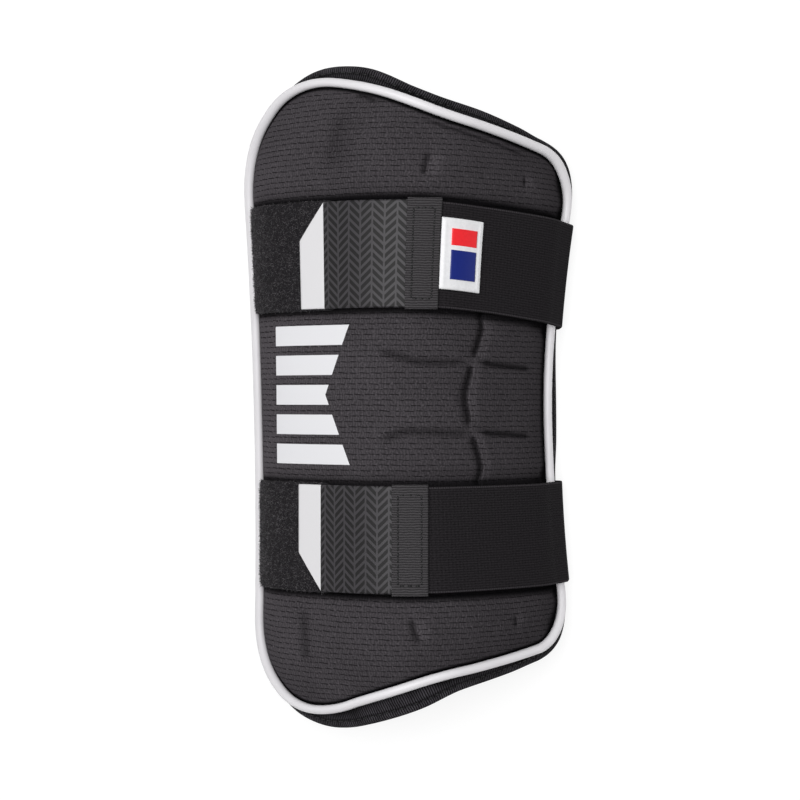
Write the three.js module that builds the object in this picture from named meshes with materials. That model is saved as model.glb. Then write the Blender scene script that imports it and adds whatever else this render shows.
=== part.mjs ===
// A batter's leg guard, lying on its long side edges with the leg hollow open along Y.
// Lengths are in mm, +Z is up and +Y points to the knee end.
// Every soft panel is drawn flat as (s, y, h): s is the arc length across the shin, y runs
// along the leg and h is the height above the arched base surface. bend() puts it in place.
import * as THREE from "three";

const GAP = 0.3;
const CROWN_HEIGHT = 64;

// Section of the base surface, from the crown outward, the same on both sides.
const ARCH = [
  { stretch: "crown", radius: 41, untilDeg: 34 },
  { stretch: "flank", radius: 182, untilDeg: 46 },
  { stretch: "edge", radius: 145, untilDeg: 56 },
];

// The section is widened and shifted toward both ends, so that the waist is the narrow place.
const FLARE = [
  { end: "knee", y: 103, wider: 0.09, shift: 2 },
  { end: "ankle", y: -105, wider: 0.03, shift: 3 },
];

// Seam line, where the piping runs: corners of the flat pattern with their rounding.
const SEAM = [
  { corner: "left side, knee end", s: -89.3, y: 121, round: 56 },
  { corner: "knee end, left", s: -53.5, y: 155.8, round: 42 },
  { corner: "knee end, left of crown", s: -18, y: 150, round: 98 },
  { corner: "knee end, right of crown", s: 14.5, y: 134.6, round: 98 },
  { corner: "knee end, right", s: 75.5, y: 120.2, round: 34 },
  { corner: "right side, knee end", s: 91.6, y: 102, round: 26 },
  { corner: "right side, waist", s: 85.8, y: 13, round: 500 },
  { corner: "right side, ankle end", s: 92, y: -109, round: 26 },
  { corner: "ankle end, right", s: 74.5, y: -123.8, round: 30 },
  { corner: "ankle end, right of crown", s: 11, y: -133.4, round: 98 },
  { corner: "ankle end, left of crown", s: -36.7, y: -152.2, round: 58 },
  { corner: "ankle end, left", s: -60.6, y: -154, round: 36 },
  { corner: "left side, ankle end", s: -89, y: -130, round: 42 },
];

// Corners of the four-sided grid that fills the pattern, each in the middle of a rounded end.
const GRID_CORNERS = [
  { name: "knee left", s: -70, y: 139.5 },
  { name: "knee right", s: 82, y: 112 },
  { name: "ankle right", s: 82, y: -116 },
  { name: "ankle left", s: -75, y: -141.5 },
];

// The back panel stands out past the seam by these widths, clockwise from the left side.
const FLANGE = [
  { near: "left side, upper strap", s: -89.3, y: 60, width: 7 },
  { near: "knee corner, left", s: -82, y: 125, width: 5 },
  { near: "knee end, turned", s: -62, y: 147, width: 4 },
  { near: "knee end, left", s: -40, y: 153, width: 7.6 },
  { near: "knee end, widest", s: -22, y: 149.5, width: 9.2 },
  { near: "knee end, crown", s: -4, y: 143.5, width: 7.3 },
  { near: "knee end, middle", s: 25, y: 132, width: 8.3 },
  { near: "knee end, right", s: 50, y: 127, width: 7.2 },
  { near: "knee corner, right", s: 68, y: 122, width: 6.2 },
  { near: "right side, knee end", s: 85, y: 109, width: 10 },
  { near: "right side, upper strap", s: 89.5, y: 80, width: 9 },
  { near: "right side, above waist", s: 88, y: 36, width: 11 },
  { near: "right side, waist", s: 87, y: 0, width: 14.2 },
  { near: "right side, under waist", s: 87.5, y: -22, width: 13.8 },
  { near: "right side, below waist", s: 88.5, y: -40, width: 11 },
  { near: "right side, lower strap", s: 90.5, y: -80, width: 8.8 },
  { near: "right side, ankle end", s: 86, y: -114, width: 9.4 },
  { near: "ankle corner, right", s: 70, y: -124, width: 7.2 },
  { near: "ankle end, right", s: 50, y: -128, width: 8.1 },
  { near: "ankle end, middle", s: 20, y: -132, width: 9.6 },
  { near: "ankle end, crown", s: 0, y: -138, width: 12.2 },
  { near: "ankle end, widest", s: -20, y: -146, width: 11.8 },
  { near: "ankle end, left", s: -40, y: -152, width: 9.4 },
  { near: "ankle end, turned", s: -56, y: -153, width: 6.6 },
  { near: "ankle corner, left", s: -72, y: -145, width: 5.2 },
  { near: "left side, lower strap", s: -89, y: -100, width: 6.5 },
];
const PANEL = { thick: 3.5, pressed: 2 };
const BINDING = { tape: 1, width: 11.5, fold: 0.8, slack: 0.5 };
const PIPING = { radius: 2.2, sides: 8 };

// Cross-section of the pad at its edge: distance in from the seam, and top height.
const PAD_SHOULDER = [
  { inset: 2.5, top: 5 },
  { inset: 5.5, top: 6.7 },
  { inset: 10, top: 8.8 },
  { inset: 16, top: 10.8 },
  { inset: 23, top: 12.1 },
  { inset: 30, top: 12.5 },
];

// Moulded grooves along the pad: share of the width at the ends and at the waist.
const LONG_GROOVES = [
  { name: "left", atEnds: 0.5, atWaist: 0.385, depth: 1.2 },
  { name: "right", atEnds: 0.8, atWaist: 0.625, depth: 2.6 },
];
// Moulded creases across the pad, from the left groove to the right edge.
const CROSS_CREASES = [
  { name: "lower", share: 0.433, depth: 1.6 },
  { name: "upper", share: 0.57, depth: 1.6 },
];
const GROOVE_HALF = { long: 0.022, cross: 0.012 };

// Straps, upper and lower: where they lie along the leg, and where their pieces begin and end.
const STRAPS = [
  { name: "upper", y: 68, yEdge: 61, yEnd: 66, loopFrom: -86.2, loopTo: 10.5,
    hookFrom: -43.5, hookCut: -30.4, joint: 5, webFrom: 0, webTo: 10.7, cutSide: 1 },
  { name: "lower", y: -68, yEdge: -68, yEnd: -68, loopFrom: -86.7, loopTo: 6.5,
    hookFrom: -47.5, hookCut: -34.6, joint: 0.8, webFrom: -5, webTo: 6.9, cutSide: -1 },
];
const LAYER = { loop: 2, hook: 1.6, web: 1.6, elastic: 1.6, label: 2 };
const WIDTH = { loop: 54, hook: 51.4, web: 53, elastic: 50.8 };
const HOOK_CUT = 18;
const LABEL = { from: 11, to: 27.4, low: 50.4, high: 84.6, dome: 0.6 };
const STRAP_TURN = { right: 3, left: 3, piping: 3 };
const STRAP_EDGE = { left: -89.2, right: 89.8, flangeLeft: 7.2, flangeRight: 10.4 };
const STRAP_END = -68;

const rad = THREE.MathUtils.degToRad;
const smooth = (from, to, v) => THREE.MathUtils.smoothstep(v, from, to);

// Point of the arched section at arc length s and height h.
function section(s, h) {
  const side = s < 0 ? -1 : 1;
  let rest = Math.abs(s);
  let from = 0;
  let x = 0;
  let z = CROWN_HEIGHT;
  for (const { radius, untilDeg } of ARCH) {
    const to = rad(untilDeg);
    const angle = Math.min(to, from + rest / radius);
    x += radius * (Math.sin(angle) - Math.sin(from));
    z -= radius * (Math.cos(from) - Math.cos(angle));
    rest -= radius * (angle - from);
    from = angle;
    if (angle < to) break;
  }
  x += rest * Math.cos(from) + h * Math.sin(from);
  z += -rest * Math.sin(from) + h * Math.cos(from);
  return { x: side * x, z };
}

// Parabola through zero at the waist and the stated values at both ends.
function flare(y, key) {
  const [knee, ankle] = FLARE;
  const k = knee[key] * y * (y - ankle.y) / (knee.y * (knee.y - ankle.y));
  const a = ankle[key] * y * (y - knee.y) / (ankle.y * (ankle.y - knee.y));
  return k + a;
}

function place(point, y) {
  return new THREE.Vector3(flare(y, "shift") + (1 + flare(y, "wider")) * point.x, y, point.z);
}

function bend(s, y, h) {
  return place(section(s, h), y);
}

// Corners of a path are rounded by arcs; a corner without a rounding stays as it is.
function roundCorners(points, closed, stepDeg) {
  const out = [];
  points.forEach((p, i) => {
    const ends = !closed && (i === 0 || i === points.length - 1);
    if (ends || !p.round) {
      out.push(new THREE.Vector2(p.u, p.v));
      return;
    }
    const here = new THREE.Vector2(p.u, p.v);
    const before = points.at(i - 1);
    const after = points[(i + 1) % points.length];
    const a = new THREE.Vector2(before.u, before.v).sub(here).normalize();
    const b = new THREE.Vector2(after.u, after.v).sub(here).normalize();
    const half = Math.acos(THREE.MathUtils.clamp(a.dot(b), -1, 1)) / 2;
    const middle = a.clone().add(b).normalize();
    const centre = here.clone().addScaledVector(middle, p.round / Math.sin(half));
    const start = here.clone().addScaledVector(a, p.round / Math.tan(half)).sub(centre);
    const turn = Math.sign(start.cross(middle.clone().negate())) * (Math.PI - 2 * half);
    const steps = Math.max(2, Math.ceil(Math.abs(turn) / rad(stepDeg)));
    for (let k = 0; k <= steps; k += 1) {
      const swung = start.clone().rotateAround(new THREE.Vector2(), turn * k / steps);
      out.push(swung.add(centre));
    }
  });
  return out;
}

// Points along a polyline at the given shares of its length.
function along(line, shares) {
  const lengths = [0];
  for (let i = 1; i < line.length; i += 1) {
    lengths.push(lengths[i - 1] + line[i].distanceTo(line[i - 1]));
  }
  return shares.map((share) => {
    const want = share * lengths.at(-1);
    let i = 1;
    while (i < line.length - 1 && lengths[i] < want) i += 1;
    const part = (want - lengths[i - 1]) / (lengths[i] - lengths[i - 1]);
    return line[i - 1].clone().lerp(line[i], part);
  });
}

// Seam line as a closed polyline, cut at the grid corners into its four sides.
const seamLine = roundCorners(SEAM.map(({ s, y, round }) => ({ u: s, v: y, round })), true, 3);

function seamSides() {
  const dense = along([...seamLine, seamLine[0]], Array.from({ length: 1201 }, (_, i) => i / 1200));
  dense.pop();
  const cuts = GRID_CORNERS.map(({ s, y }) => {
    const want = new THREE.Vector2(s, y);
    return dense.reduce((best, p, i) => (p.distanceTo(want) < dense[best].distanceTo(want) ? i : best), 0);
  });
  return cuts.map((from, k) => {
    const to = cuts[(k + 1) % 4];
    const count = (to - from + dense.length) % dense.length;
    return Array.from({ length: count + 1 }, (_, i) => dense[(from + i) % dense.length]);
  });
}
const SIDES = seamSides();

// Shares at which the grid lines leave the sides, closer together at corners and grooves.
const ENDS = [0, 0.05, 0.1, 0.16, 0.23, 0.3];
const nearGroove = (list, half) => list.flatMap((at) => [at - half, at, at + half]);
const COLUMNS = [...ENDS, ...nearGroove(LONG_GROOVES.map((g) => g.atEnds), GROOVE_HALF.long),
  0.35, 0.4, 0.44, 0.56, 0.6, 0.645, 0.69, 0.735, 0.87, 0.92, 0.96, 1].sort((a, b) => a - b);
const ROWS = [...ENDS, 0.37, ...nearGroove(CROSS_CREASES.map((c) => c.share), GROOVE_HALF.cross),
  0.5, 0.63, 0.7, 0.78, 0.85, 0.91, 0.96, 1].sort((a, b) => a - b);

// Ring of seam points with their outward directions, clockwise from the knee left corner.
// The knee side runs to the right, the right side down, the ankle side left, the left side up.
function seamRing() {
  const back = (list) => list.map((v) => 1 - v).reverse();
  const shares = [COLUMNS, back(ROWS), back(COLUMNS), ROWS];
  const points = SIDES.flatMap((side, k) => along(side, shares[k]).slice(0, -1));
  return points.map((p, i) => {
    const before = points.at(i - 1);
    const after = points[(i + 1) % points.length];
    const a = p.clone().sub(before).normalize();
    const b = after.clone().sub(p).normalize();
    const way = a.add(b).normalize();
    return { s: p.x, y: p.y, ns: -way.y, ny: way.x };
  });
}
const RING = seamRing();

// Width of the flange at a seam point: a cubic through the stations before and after it.
const DENSE_SEAM = SIDES.flatMap((side) => side.slice(0, -1));
const seamPlace = ({ s, y }) => {
  const want = new THREE.Vector2(s, y);
  return DENSE_SEAM.reduce((best, p, i) => (p.distanceTo(want) < DENSE_SEAM[best].distanceTo(want) ? i : best), 0);
};
const FLANGE_STATIONS = FLANGE.map((row) => ({ at: seamPlace(row), width: row.width })).sort((a, b) => a.at - b.at);
function flange(point) {
  const at = seamPlace(point);
  const total = DENSE_SEAM.length;
  const count = FLANGE_STATIONS.length;
  const next = FLANGE_STATIONS.findIndex((row) => row.at > at);
  const k = (next < 0 ? count : next) - 1;
  const [a, b, c, d] = [-1, 0, 1, 2].map((step) => FLANGE_STATIONS[(k + step + count) % count]);
  const ahead = (from, to) => (to - from + total) % total;
  const span = ahead(b.at, c.at);
  const slopeB = (c.width - a.width) / ahead(a.at, c.at) * span;
  const slopeC = (d.width - b.width) / ahead(b.at, d.at) * span;
  const t = ahead(b.at, at) / span;
  const rise = smooth(0, 1, t);
  return b.width * (1 - rise) + c.width * rise + t * (1 - t) * ((1 - t) * slopeB - t * slopeC);
}

const shifted = (r, out) => new THREE.Vector2(r.s + r.ns * out, r.y + r.ny * out);

// Share of the width at which a column lies in a row, so that the grooves follow columns.
function columnShare(column, row) {
  const waist = 1 - Math.abs(2 * row - 1);
  const knots = [[0, 0], ...LONG_GROOVES.map((g) => [g.atEnds, g.atEnds + (g.atWaist - g.atEnds) * waist]), [1, 1]];
  const k = Math.max(1, knots.findIndex(([at]) => at >= column));
  const part = (column - knots[k - 1][0]) / (knots[k][0] - knots[k - 1][0]);
  return knots[k - 1][1] + part * (knots[k][1] - knots[k - 1][1]);
}

// Grid of flat points inside a ring: the ring's four sides are blended across (Coons patch).
function fillRing(ring) {
  const nu = COLUMNS.length - 1;
  const nv = ROWS.length - 1;
  const cut = (from, count) => Array.from({ length: count + 1 }, (_, i) => ring[(from + i) % ring.length]);
  const knee = cut(0, nu);
  const right = cut(nu, nv).reverse();
  const ankle = cut(nu + nv, nu).reverse();
  const left = cut(2 * nu + nv, nv);
  const between = (side, share) => {
    const k = Math.max(1, COLUMNS.findIndex((c) => c >= share - 1e-9));
    const part = (share - COLUMNS[k - 1]) / (COLUMNS[k] - COLUMNS[k - 1]);
    return side[k - 1].clone().lerp(side[k], part);
  };
  return ROWS.map((v, j) => COLUMNS.map((column, i) => {
    if (j === 0) return ankle[i];
    if (j === nv) return knee[i];
    if (i === 0) return left[j];
    if (i === nu) return right[j];
    const u = columnShare(column, v);
    const p = between(ankle, u).multiplyScalar(1 - v).addScaledVector(between(knee, u), v);
    p.addScaledVector(left[j], 1 - u).addScaledVector(right[j], u);
    p.addScaledVector(ankle[0], -(1 - u) * (1 - v)).addScaledVector(ankle[nu], -u * (1 - v));
    return p.addScaledVector(knee[0], -(1 - u) * v).addScaledVector(knee[nu], -u * v);
  }));
}

// Indexed mesh builder: points are kept by name, faces are quads or triangles.
class Shell {
  constructor() {
    this.positions = [];
    this.indices = [];
  }

  point(v) {
    this.positions.push(v.x, v.y, v.z);
    return this.positions.length / 3 - 1;
  }

  quad(a, b, c, d) {
    this.indices.push(a, b, c, a, c, d);
  }

  // Strip between two closed or open rows of points.
  strip(rowA, rowB, closed) {
    const last = closed ? rowA.length : rowA.length - 1;
    for (let i = 0; i < last; i += 1) {
      const k = (i + 1) % rowA.length;
      this.quad(rowA[i], rowA[k], rowB[k], rowB[i]);
    }
  }

  mesh(name, material) {
    const geometry = new THREE.BufferGeometry();
    geometry.setAttribute("position", new THREE.Float32BufferAttribute(this.positions, 3));
    geometry.setIndex(this.indices);
    geometry.computeVertexNormals();
    const mesh = new THREE.Mesh(geometry, material);
    mesh.name = name;
    return mesh;
  }
}

// Sheet inside the seam: rings from the edge inward, then the filled grid, on both faces.
// Each ring gives its outward offset from the seam and its height; both faces share the first.
function sheet(name, material, top, bottom, drop) {
  const shell = new Shell();
  const face = (rings, height, sunk) => {
    const rows = rings.map(({ out, h }) => RING.map((r) => {
      const p = shifted(r, out(r));
      return shell.point(bend(p.x, p.y, h));
    }));
    const inner = RING.map((r) => shifted(r, rings.at(-1).out(r)));
    const grid = fillRing(inner);
    const ids = new Map(inner.map((p, i) => [p, rows.at(-1)[i]]));
    const cells = grid.map((row, j) => row.map((p, i) => ids.get(p)
      ?? shell.point(bend(p.x, p.y, height - sunk(i, j)))));
    return { rows, cells };
  };
  const upper = face(top, top.at(-1).h, drop);
  const lower = face(bottom, bottom.at(-1).h, () => 0);
  const build = ({ rows, cells }, up) => {
    for (let i = 1; i < rows.length; i += 1) {
      if (up) shell.strip(rows[i], rows[i - 1], true);
      else shell.strip(rows[i - 1], rows[i], true);
    }
    for (let j = 1; j < cells.length; j += 1) {
      if (up) shell.strip(cells[j - 1], cells[j], false);
      else shell.strip(cells[j], cells[j - 1], false);
    }
  };
  build(upper, true);
  build(lower, false);
  shell.strip(upper.rows[0], lower.rows[0], true);
  return shell.mesh(name, material);
}

// Ring swept along the seam: the profile gives offsets outward and heights.
function sweep(name, material, profile) {
  const shell = new Shell();
  const loops = profile.map(({ out, h }) => RING.map((r) => {
    const p = shifted(r, out(r));
    return shell.point(bend(p.x, p.y, h));
  }));
  loops.forEach((loop, i) => shell.strip(loop, loops[(i + 1) % loops.length], true));
  return shell.mesh(name, material);
}

// Closed slab from two like grids of points, the first on the outside.
function slab(name, material, outer, inner) {
  const shell = new Shell();
  const a = outer.map((row) => row.map((p) => shell.point(p)));
  const b = inner.map((row) => row.map((p) => shell.point(p)));
  for (let j = 1; j < a.length; j += 1) {
    shell.strip(a[j], a[j - 1], false);
    shell.strip(b[j - 1], b[j], false);
  }
  shell.strip(a[0], b[0], false);
  shell.strip(b.at(-1), a.at(-1), false);
  shell.strip(b.map((row) => row[0]), a.map((row) => row[0]), false);
  shell.strip(a.map((row) => row.at(-1)), b.map((row) => row.at(-1)), false);
  return shell.mesh(name, material);
}

// Panel lying on the pad, given as columns across the shin, each with its reach along the leg.
function panel(name, material, columns, divisions, dome = 0) {
  const share = Array.from({ length: divisions + 1 }, (_, k) => k / divisions);
  const rows = (height, lift) => columns.map((c, i) => share.map((v) => {
    const swell = lift * Math.sin(Math.PI * v) * Math.sin(Math.PI * i / (columns.length - 1));
    return bend(c.s, c.low + (c.high - c.low) * v, c[height] + swell);
  }));
  return slab(name, material, rows("top", dome), rows("bottom", 0));
}

function stations(from, to, step, extra = []) {
  const count = Math.max(1, Math.ceil((to - from) / step));
  const list = Array.from({ length: count + 1 }, (_, i) => from + (to - from) * i / count);
  return [...list, ...extra].sort((a, b) => a - b);
}

// Top of the pad at a distance in from the seam.
function shoulder(inset) {
  const k = PAD_SHOULDER.findIndex((row) => row.inset >= inset);
  if (k === 0) return PAD_SHOULDER[0].top;
  if (k < 0) return PAD_SHOULDER.at(-1).top;
  const [a, b] = [PAD_SHOULDER[k - 1], PAD_SHOULDER[k]];
  return a.top + (b.top - a.top) * (inset - a.inset) / (b.inset - a.inset);
}

const PAD_TOP = PAD_SHOULDER.at(-1).top;
const SEAM_LEFT = STRAP_EDGE.left;
const SEAM_RIGHT = STRAP_EDGE.right;
const HOOK_BASE = PAD_TOP + GAP + LAYER.loop + GAP;
const WEB_BASE = HOOK_BASE + LAYER.hook + GAP;

// Underside of the elastic on the pad: it comes down from the joint to the pad.
function elasticBase(strap, s) {
  return HOOK_BASE + (PAD_TOP + GAP - HOOK_BASE) * smooth(strap.webTo + 0.5, strap.webTo + 16, s);
}

function loopPanel(strap, material) {
  const onShoulder = PAD_SHOULDER.map(({ inset }) => SEAM_LEFT + inset).filter((s) => s > strap.loopFrom + 0.5);
  const onPad = stations(onShoulder.pop(), strap.loopTo, 7);
  const columns = [strap.loopFrom, ...onShoulder, ...onPad].map((s) => {
    const bottom = shoulder(s - SEAM_LEFT) + GAP;
    return { s, low: strap.y - WIDTH.loop / 2, high: strap.y + WIDTH.loop / 2, bottom, top: bottom + LAYER.loop };
  });
  return panel(`loop_panel_${strap.name}`, material, columns, 3);
}

function hookTab(strap, material) {
  const columns = stations(strap.hookFrom, strap.joint - GAP / 2, 7, [strap.hookCut]).map((s) => {
    const cut = HOOK_CUT * (1 - Math.min(1, (s - strap.hookFrom) / (strap.hookCut - strap.hookFrom)));
    return {
      s,
      low: strap.y - WIDTH.hook / 2 + (strap.cutSide < 0 ? cut : 0),
      high: strap.y + WIDTH.hook / 2 - (strap.cutSide > 0 ? cut : 0),
      bottom: HOOK_BASE,
      top: HOOK_BASE + LAYER.hook,
    };
  });
  return panel(`hook_tab_${strap.name}`, material, columns, 3);
}

function webTab(strap, material) {
  const columns = stations(strap.webFrom, strap.webTo, 4).map((s) => ({
    s,
    low: strap.y - WIDTH.web / 2,
    high: strap.y + WIDTH.web / 2,
    bottom: WEB_BASE,
    top: WEB_BASE + LAYER.web,
  }));
  return panel(`web_tab_${strap.name}`, material, columns, 3);
}

function strapLabel(strap, material) {
  const columns = stations(LABEL.from, LABEL.to, 3).map((s) => {
    const bottom = elasticBase(strap, s) + LAYER.elastic + GAP;
    return { s, low: LABEL.low, high: LABEL.high, bottom, top: bottom + LAYER.label - LABEL.dome };
  });
  return panel("strap_label", material, columns, 4, LABEL.dome);
}

// Middle line of an elastic strap in the section: over the pad, round the right edge, flat
// along the floor below the hollow, and up inside the left edge.
function elasticPath(strap) {
  const half = LAYER.elastic / 2;
  const at = (s, h, round = 0) => {
    const { x, z } = section(s, h);
    return { u: x, v: z, round };
  };
  const onPad = stations(strap.joint + GAP / 2, SEAM_RIGHT - 30, 5.2).map((s) => at(s, elasticBase(strap, s) + half));
  const overShoulder = [23, 16, 10].map((inset) => at(SEAM_RIGHT - inset, shoulder(inset + 2) + GAP + half + 0.1));
  const overPiping = at(SEAM_RIGHT + 3.2, 2 * PIPING.radius + PANEL.thick + GAP + 0.8, STRAP_TURN.piping);
  const outer = section(SEAM_RIGHT + STRAP_EDGE.flangeRight, PANEL.thick).x;
  const floorRight = { u: outer + 2.1, v: half, round: STRAP_TURN.right };
  const inside = -(BINDING.tape + BINDING.slack + GAP + half);
  const edge = section(SEAM_LEFT - STRAP_EDGE.flangeLeft, inside);
  const slope = rad(ARCH.at(-1).untilDeg);
  const floorLeft = { u: edge.x - (edge.z - half) / Math.tan(slope), v: half, round: STRAP_TURN.left };
  const sewnEnd = [SEAM_LEFT + 2, SEAM_LEFT + 11, STRAP_END].map((s) => at(s, inside));
  const floor = [0.25, 0.5, 0.75].map((k) => ({ u: floorRight.u + (floorLeft.u - floorRight.u) * k, v: half }));
  return roundCorners([...onPad, ...overShoulder, overPiping, floorRight, ...floor, floorLeft, ...sewnEnd], false, 24);
}

function elasticStrap(strap, material) {
  const path = elasticPath(strap);
  const half = LAYER.elastic / 2;
  const share = [-0.5, -1 / 6, 1 / 6, 0.5];
  const lowest = path.findIndex((p) => p.y < LAYER.elastic);
  const rows = (lift) => path.map((p, i) => {
    const way = path[Math.min(i + 1, path.length - 1)].clone().sub(path[Math.max(i - 1, 0)]).normalize();
    const point = { x: p.x - way.y * lift, z: p.y + way.x * lift };
    const front = Math.min(1, i / lowest);
    const back = Math.max(0, (i - lowest) / (path.length - 1 - lowest));
    const middle = strap.y + (strap.yEdge - strap.y) * front + (strap.yEnd - strap.yEdge) * back;
    return share.map((v) => place(point, middle + v * WIDTH.elastic));
  });
  return slab(`elastic_strap_${strap.name}`, material, rows(half), rows(-half));
}

const cloth = (color, roughness = 0.9) => new THREE.MeshStandardMaterial({ color, roughness, metalness: 0 });
const MATERIAL = {
  front: cloth("#48484a"),
  lining: cloth("#2b2b2d"),
  tape: cloth("#232326"),
  white: cloth("#e6e6e6", 0.6),
  loop: cloth("#1c1c1e", 1),
  hook: cloth("#4a4a4d", 0.45),
  web: cloth("#29292c"),
  elastic: cloth("#1d1c20"),
};

// Depth of the pad's surface below its full height at a grid point.
function grooveDepth(i, j) {
  const [u, v] = [COLUMNS[i], ROWS[j]];
  const fade = smooth(0, 0.14, v) * smooth(0, 0.14, 1 - v);
  const long = LONG_GROOVES.reduce((sum, g) => sum + (Math.abs(u - g.atEnds) < 1e-9 ? g.depth * fade : 0), 0);
  const reach = smooth(LONG_GROOVES[0].atEnds - 0.05, LONG_GROOVES[0].atEnds + 0.03, u) * smooth(0, 0.05, 1 - u);
  const cross = CROSS_CREASES.reduce((sum, c) => sum + (Math.abs(v - c.share) < 1e-9 ? c.depth * reach : 0), 0);
  return Math.max(long, cross);
}

function frontPad() {
  const base = PANEL.thick + 2 * GAP;
  const inset = (row) => ({ out: () => -row.inset, h: row.top });
  const bottom = [{ out: () => -PAD_SHOULDER[0].inset, h: base }];
  const top = PAD_SHOULDER.map(inset);
  return sheet("front_pad", MATERIAL.front, top, bottom, grooveDepth);
}

function backPanel() {
  const edge = BINDING.tape + BINDING.slack;
  const top = [
    { out: (r) => flange(r) - edge, h: PANEL.pressed },
    { out: (r) => flange(r) - BINDING.width - BINDING.slack, h: PANEL.pressed },
    { out: (r) => flange(r) - BINDING.width - 2 * BINDING.slack, h: PANEL.thick },
  ];
  const bottom = [
    { out: (r) => flange(r) - edge, h: 0 },
    { out: (r) => flange(r) - BINDING.width - 2 * BINDING.slack, h: 0 },
  ];
  return sheet("back_panel", MATERIAL.lining, top, bottom, () => 0);
}

function edgeBinding() {
  const over = PANEL.pressed + BINDING.slack;
  const rim = (inset, h) => ({ out: (r) => flange(r) - inset, h });
  return sweep("edge_binding", MATERIAL.tape, [
    rim(BINDING.width, over + BINDING.tape),
    rim(BINDING.fold, over + BINDING.tape),
    rim(0, over + BINDING.tape - BINDING.fold),
    rim(0, BINDING.fold - BINDING.tape - BINDING.slack),
    rim(BINDING.fold, -BINDING.tape - BINDING.slack),
    rim(BINDING.width, -BINDING.tape - BINDING.slack),
    rim(BINDING.width, -BINDING.slack),
    rim(BINDING.tape, -BINDING.slack),
    rim(BINDING.tape, over),
    rim(BINDING.width, over),
  ]);
}

function piping() {
  const height = PANEL.thick + GAP + PIPING.radius;
  const profile = Array.from({ length: PIPING.sides }, (_, k) => {
    const turn = 2 * Math.PI * k / PIPING.sides;
    return { out: () => -PIPING.radius * Math.cos(turn), h: height + PIPING.radius * Math.sin(turn) };
  });
  return sweep("piping", MATERIAL.white, profile);
}

const guard = new THREE.Group();
guard.name = "leg_guard";
guard.add(backPanel(), edgeBinding(), frontPad(), piping());
for (const strap of STRAPS) {
  guard.add(loopPanel(strap, MATERIAL.loop), hookTab(strap, MATERIAL.hook));
  guard.add(elasticStrap(strap, MATERIAL.elastic), webTab(strap, MATERIAL.web));
}
guard.add(strapLabel(STRAPS[0], MATERIAL.white));

// The origin is the bottom centre of the whole part.
const box = new THREE.Box3().setFromObject(guard);
const centre = box.getCenter(new THREE.Vector3());
guard.children.forEach((mesh) => mesh.geometry.translate(-centre.x, -centre.y, -box.min.z));

export default guard;
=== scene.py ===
"""Batter's leg guard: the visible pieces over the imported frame, laid out as an add-on."""

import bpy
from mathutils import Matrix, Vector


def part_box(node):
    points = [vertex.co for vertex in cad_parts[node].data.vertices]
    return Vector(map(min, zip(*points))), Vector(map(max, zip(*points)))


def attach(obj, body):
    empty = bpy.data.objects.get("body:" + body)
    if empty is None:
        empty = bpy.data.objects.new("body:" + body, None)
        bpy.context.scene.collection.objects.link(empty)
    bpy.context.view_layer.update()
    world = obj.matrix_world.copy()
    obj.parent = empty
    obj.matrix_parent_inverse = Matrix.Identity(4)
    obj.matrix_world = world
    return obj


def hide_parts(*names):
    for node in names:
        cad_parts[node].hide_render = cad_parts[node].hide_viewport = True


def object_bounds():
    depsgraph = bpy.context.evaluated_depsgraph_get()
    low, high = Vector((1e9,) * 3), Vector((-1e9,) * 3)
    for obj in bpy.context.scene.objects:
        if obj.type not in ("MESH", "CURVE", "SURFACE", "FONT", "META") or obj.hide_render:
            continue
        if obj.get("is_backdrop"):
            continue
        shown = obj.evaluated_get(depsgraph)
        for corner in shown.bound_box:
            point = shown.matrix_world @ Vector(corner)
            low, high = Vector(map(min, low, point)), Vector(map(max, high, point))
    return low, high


bl_info = {
    "name": "Batter's leg guard",
    "version": (1, 0, 0),
    "blender": (4, 5, 0),
    "location": "View3D > Sidebar > Leg guard",
    "description": "Builds a padded leg guard with piping, bound edge and elastic straps",
    "category": "Object",
}

import bmesh
import bpy
import numpy as np

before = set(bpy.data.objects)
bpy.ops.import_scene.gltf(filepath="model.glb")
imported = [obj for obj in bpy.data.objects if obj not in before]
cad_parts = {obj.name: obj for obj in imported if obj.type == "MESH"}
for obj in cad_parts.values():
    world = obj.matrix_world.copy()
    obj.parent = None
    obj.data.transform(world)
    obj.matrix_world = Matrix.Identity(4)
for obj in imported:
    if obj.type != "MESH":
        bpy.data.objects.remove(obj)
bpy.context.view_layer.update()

MM = 0.001
GAP = 0.3
BODY = "root"

# Section of the base surface from the crown outward: radius in mm, angle in degrees where it ends.
ARCH = ((41.0, 34.0), (182.0, 46.0), (145.0, 56.0))
CROWN_HEIGHT = 64.0

# Widening and sideways shift of the section toward the ends of the pad.
KNEE = {"y": 103.0, "wider": 0.09, "shift": 2.0}
ANKLE = {"y": -105.0, "wider": 0.03, "shift": 3.0}

# Corners of the seam line on the flat pattern: s, y, rounding, all in mm.
SEAM = (
    (-89.3, 121.0, 56.0),
    (-53.5, 155.8, 42.0),
    (-18.0, 150.0, 98.0),
    (14.5, 134.6, 98.0),
    (75.5, 120.2, 34.0),
    (91.6, 102.0, 26.0),
    (85.8, 13.0, 500.0),
    (92.0, -109.0, 26.0),
    (74.5, -123.8, 30.0),
    (11.0, -133.4, 98.0),
    (-36.7, -152.2, 58.0),
    (-60.6, -154.0, 36.0),
    (-89.0, -130.0, 42.0),
)
GRID_CORNERS = ((-70.0, 139.5), (82.0, 112.0), (82.0, -116.0), (-75.0, -141.5))

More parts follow.
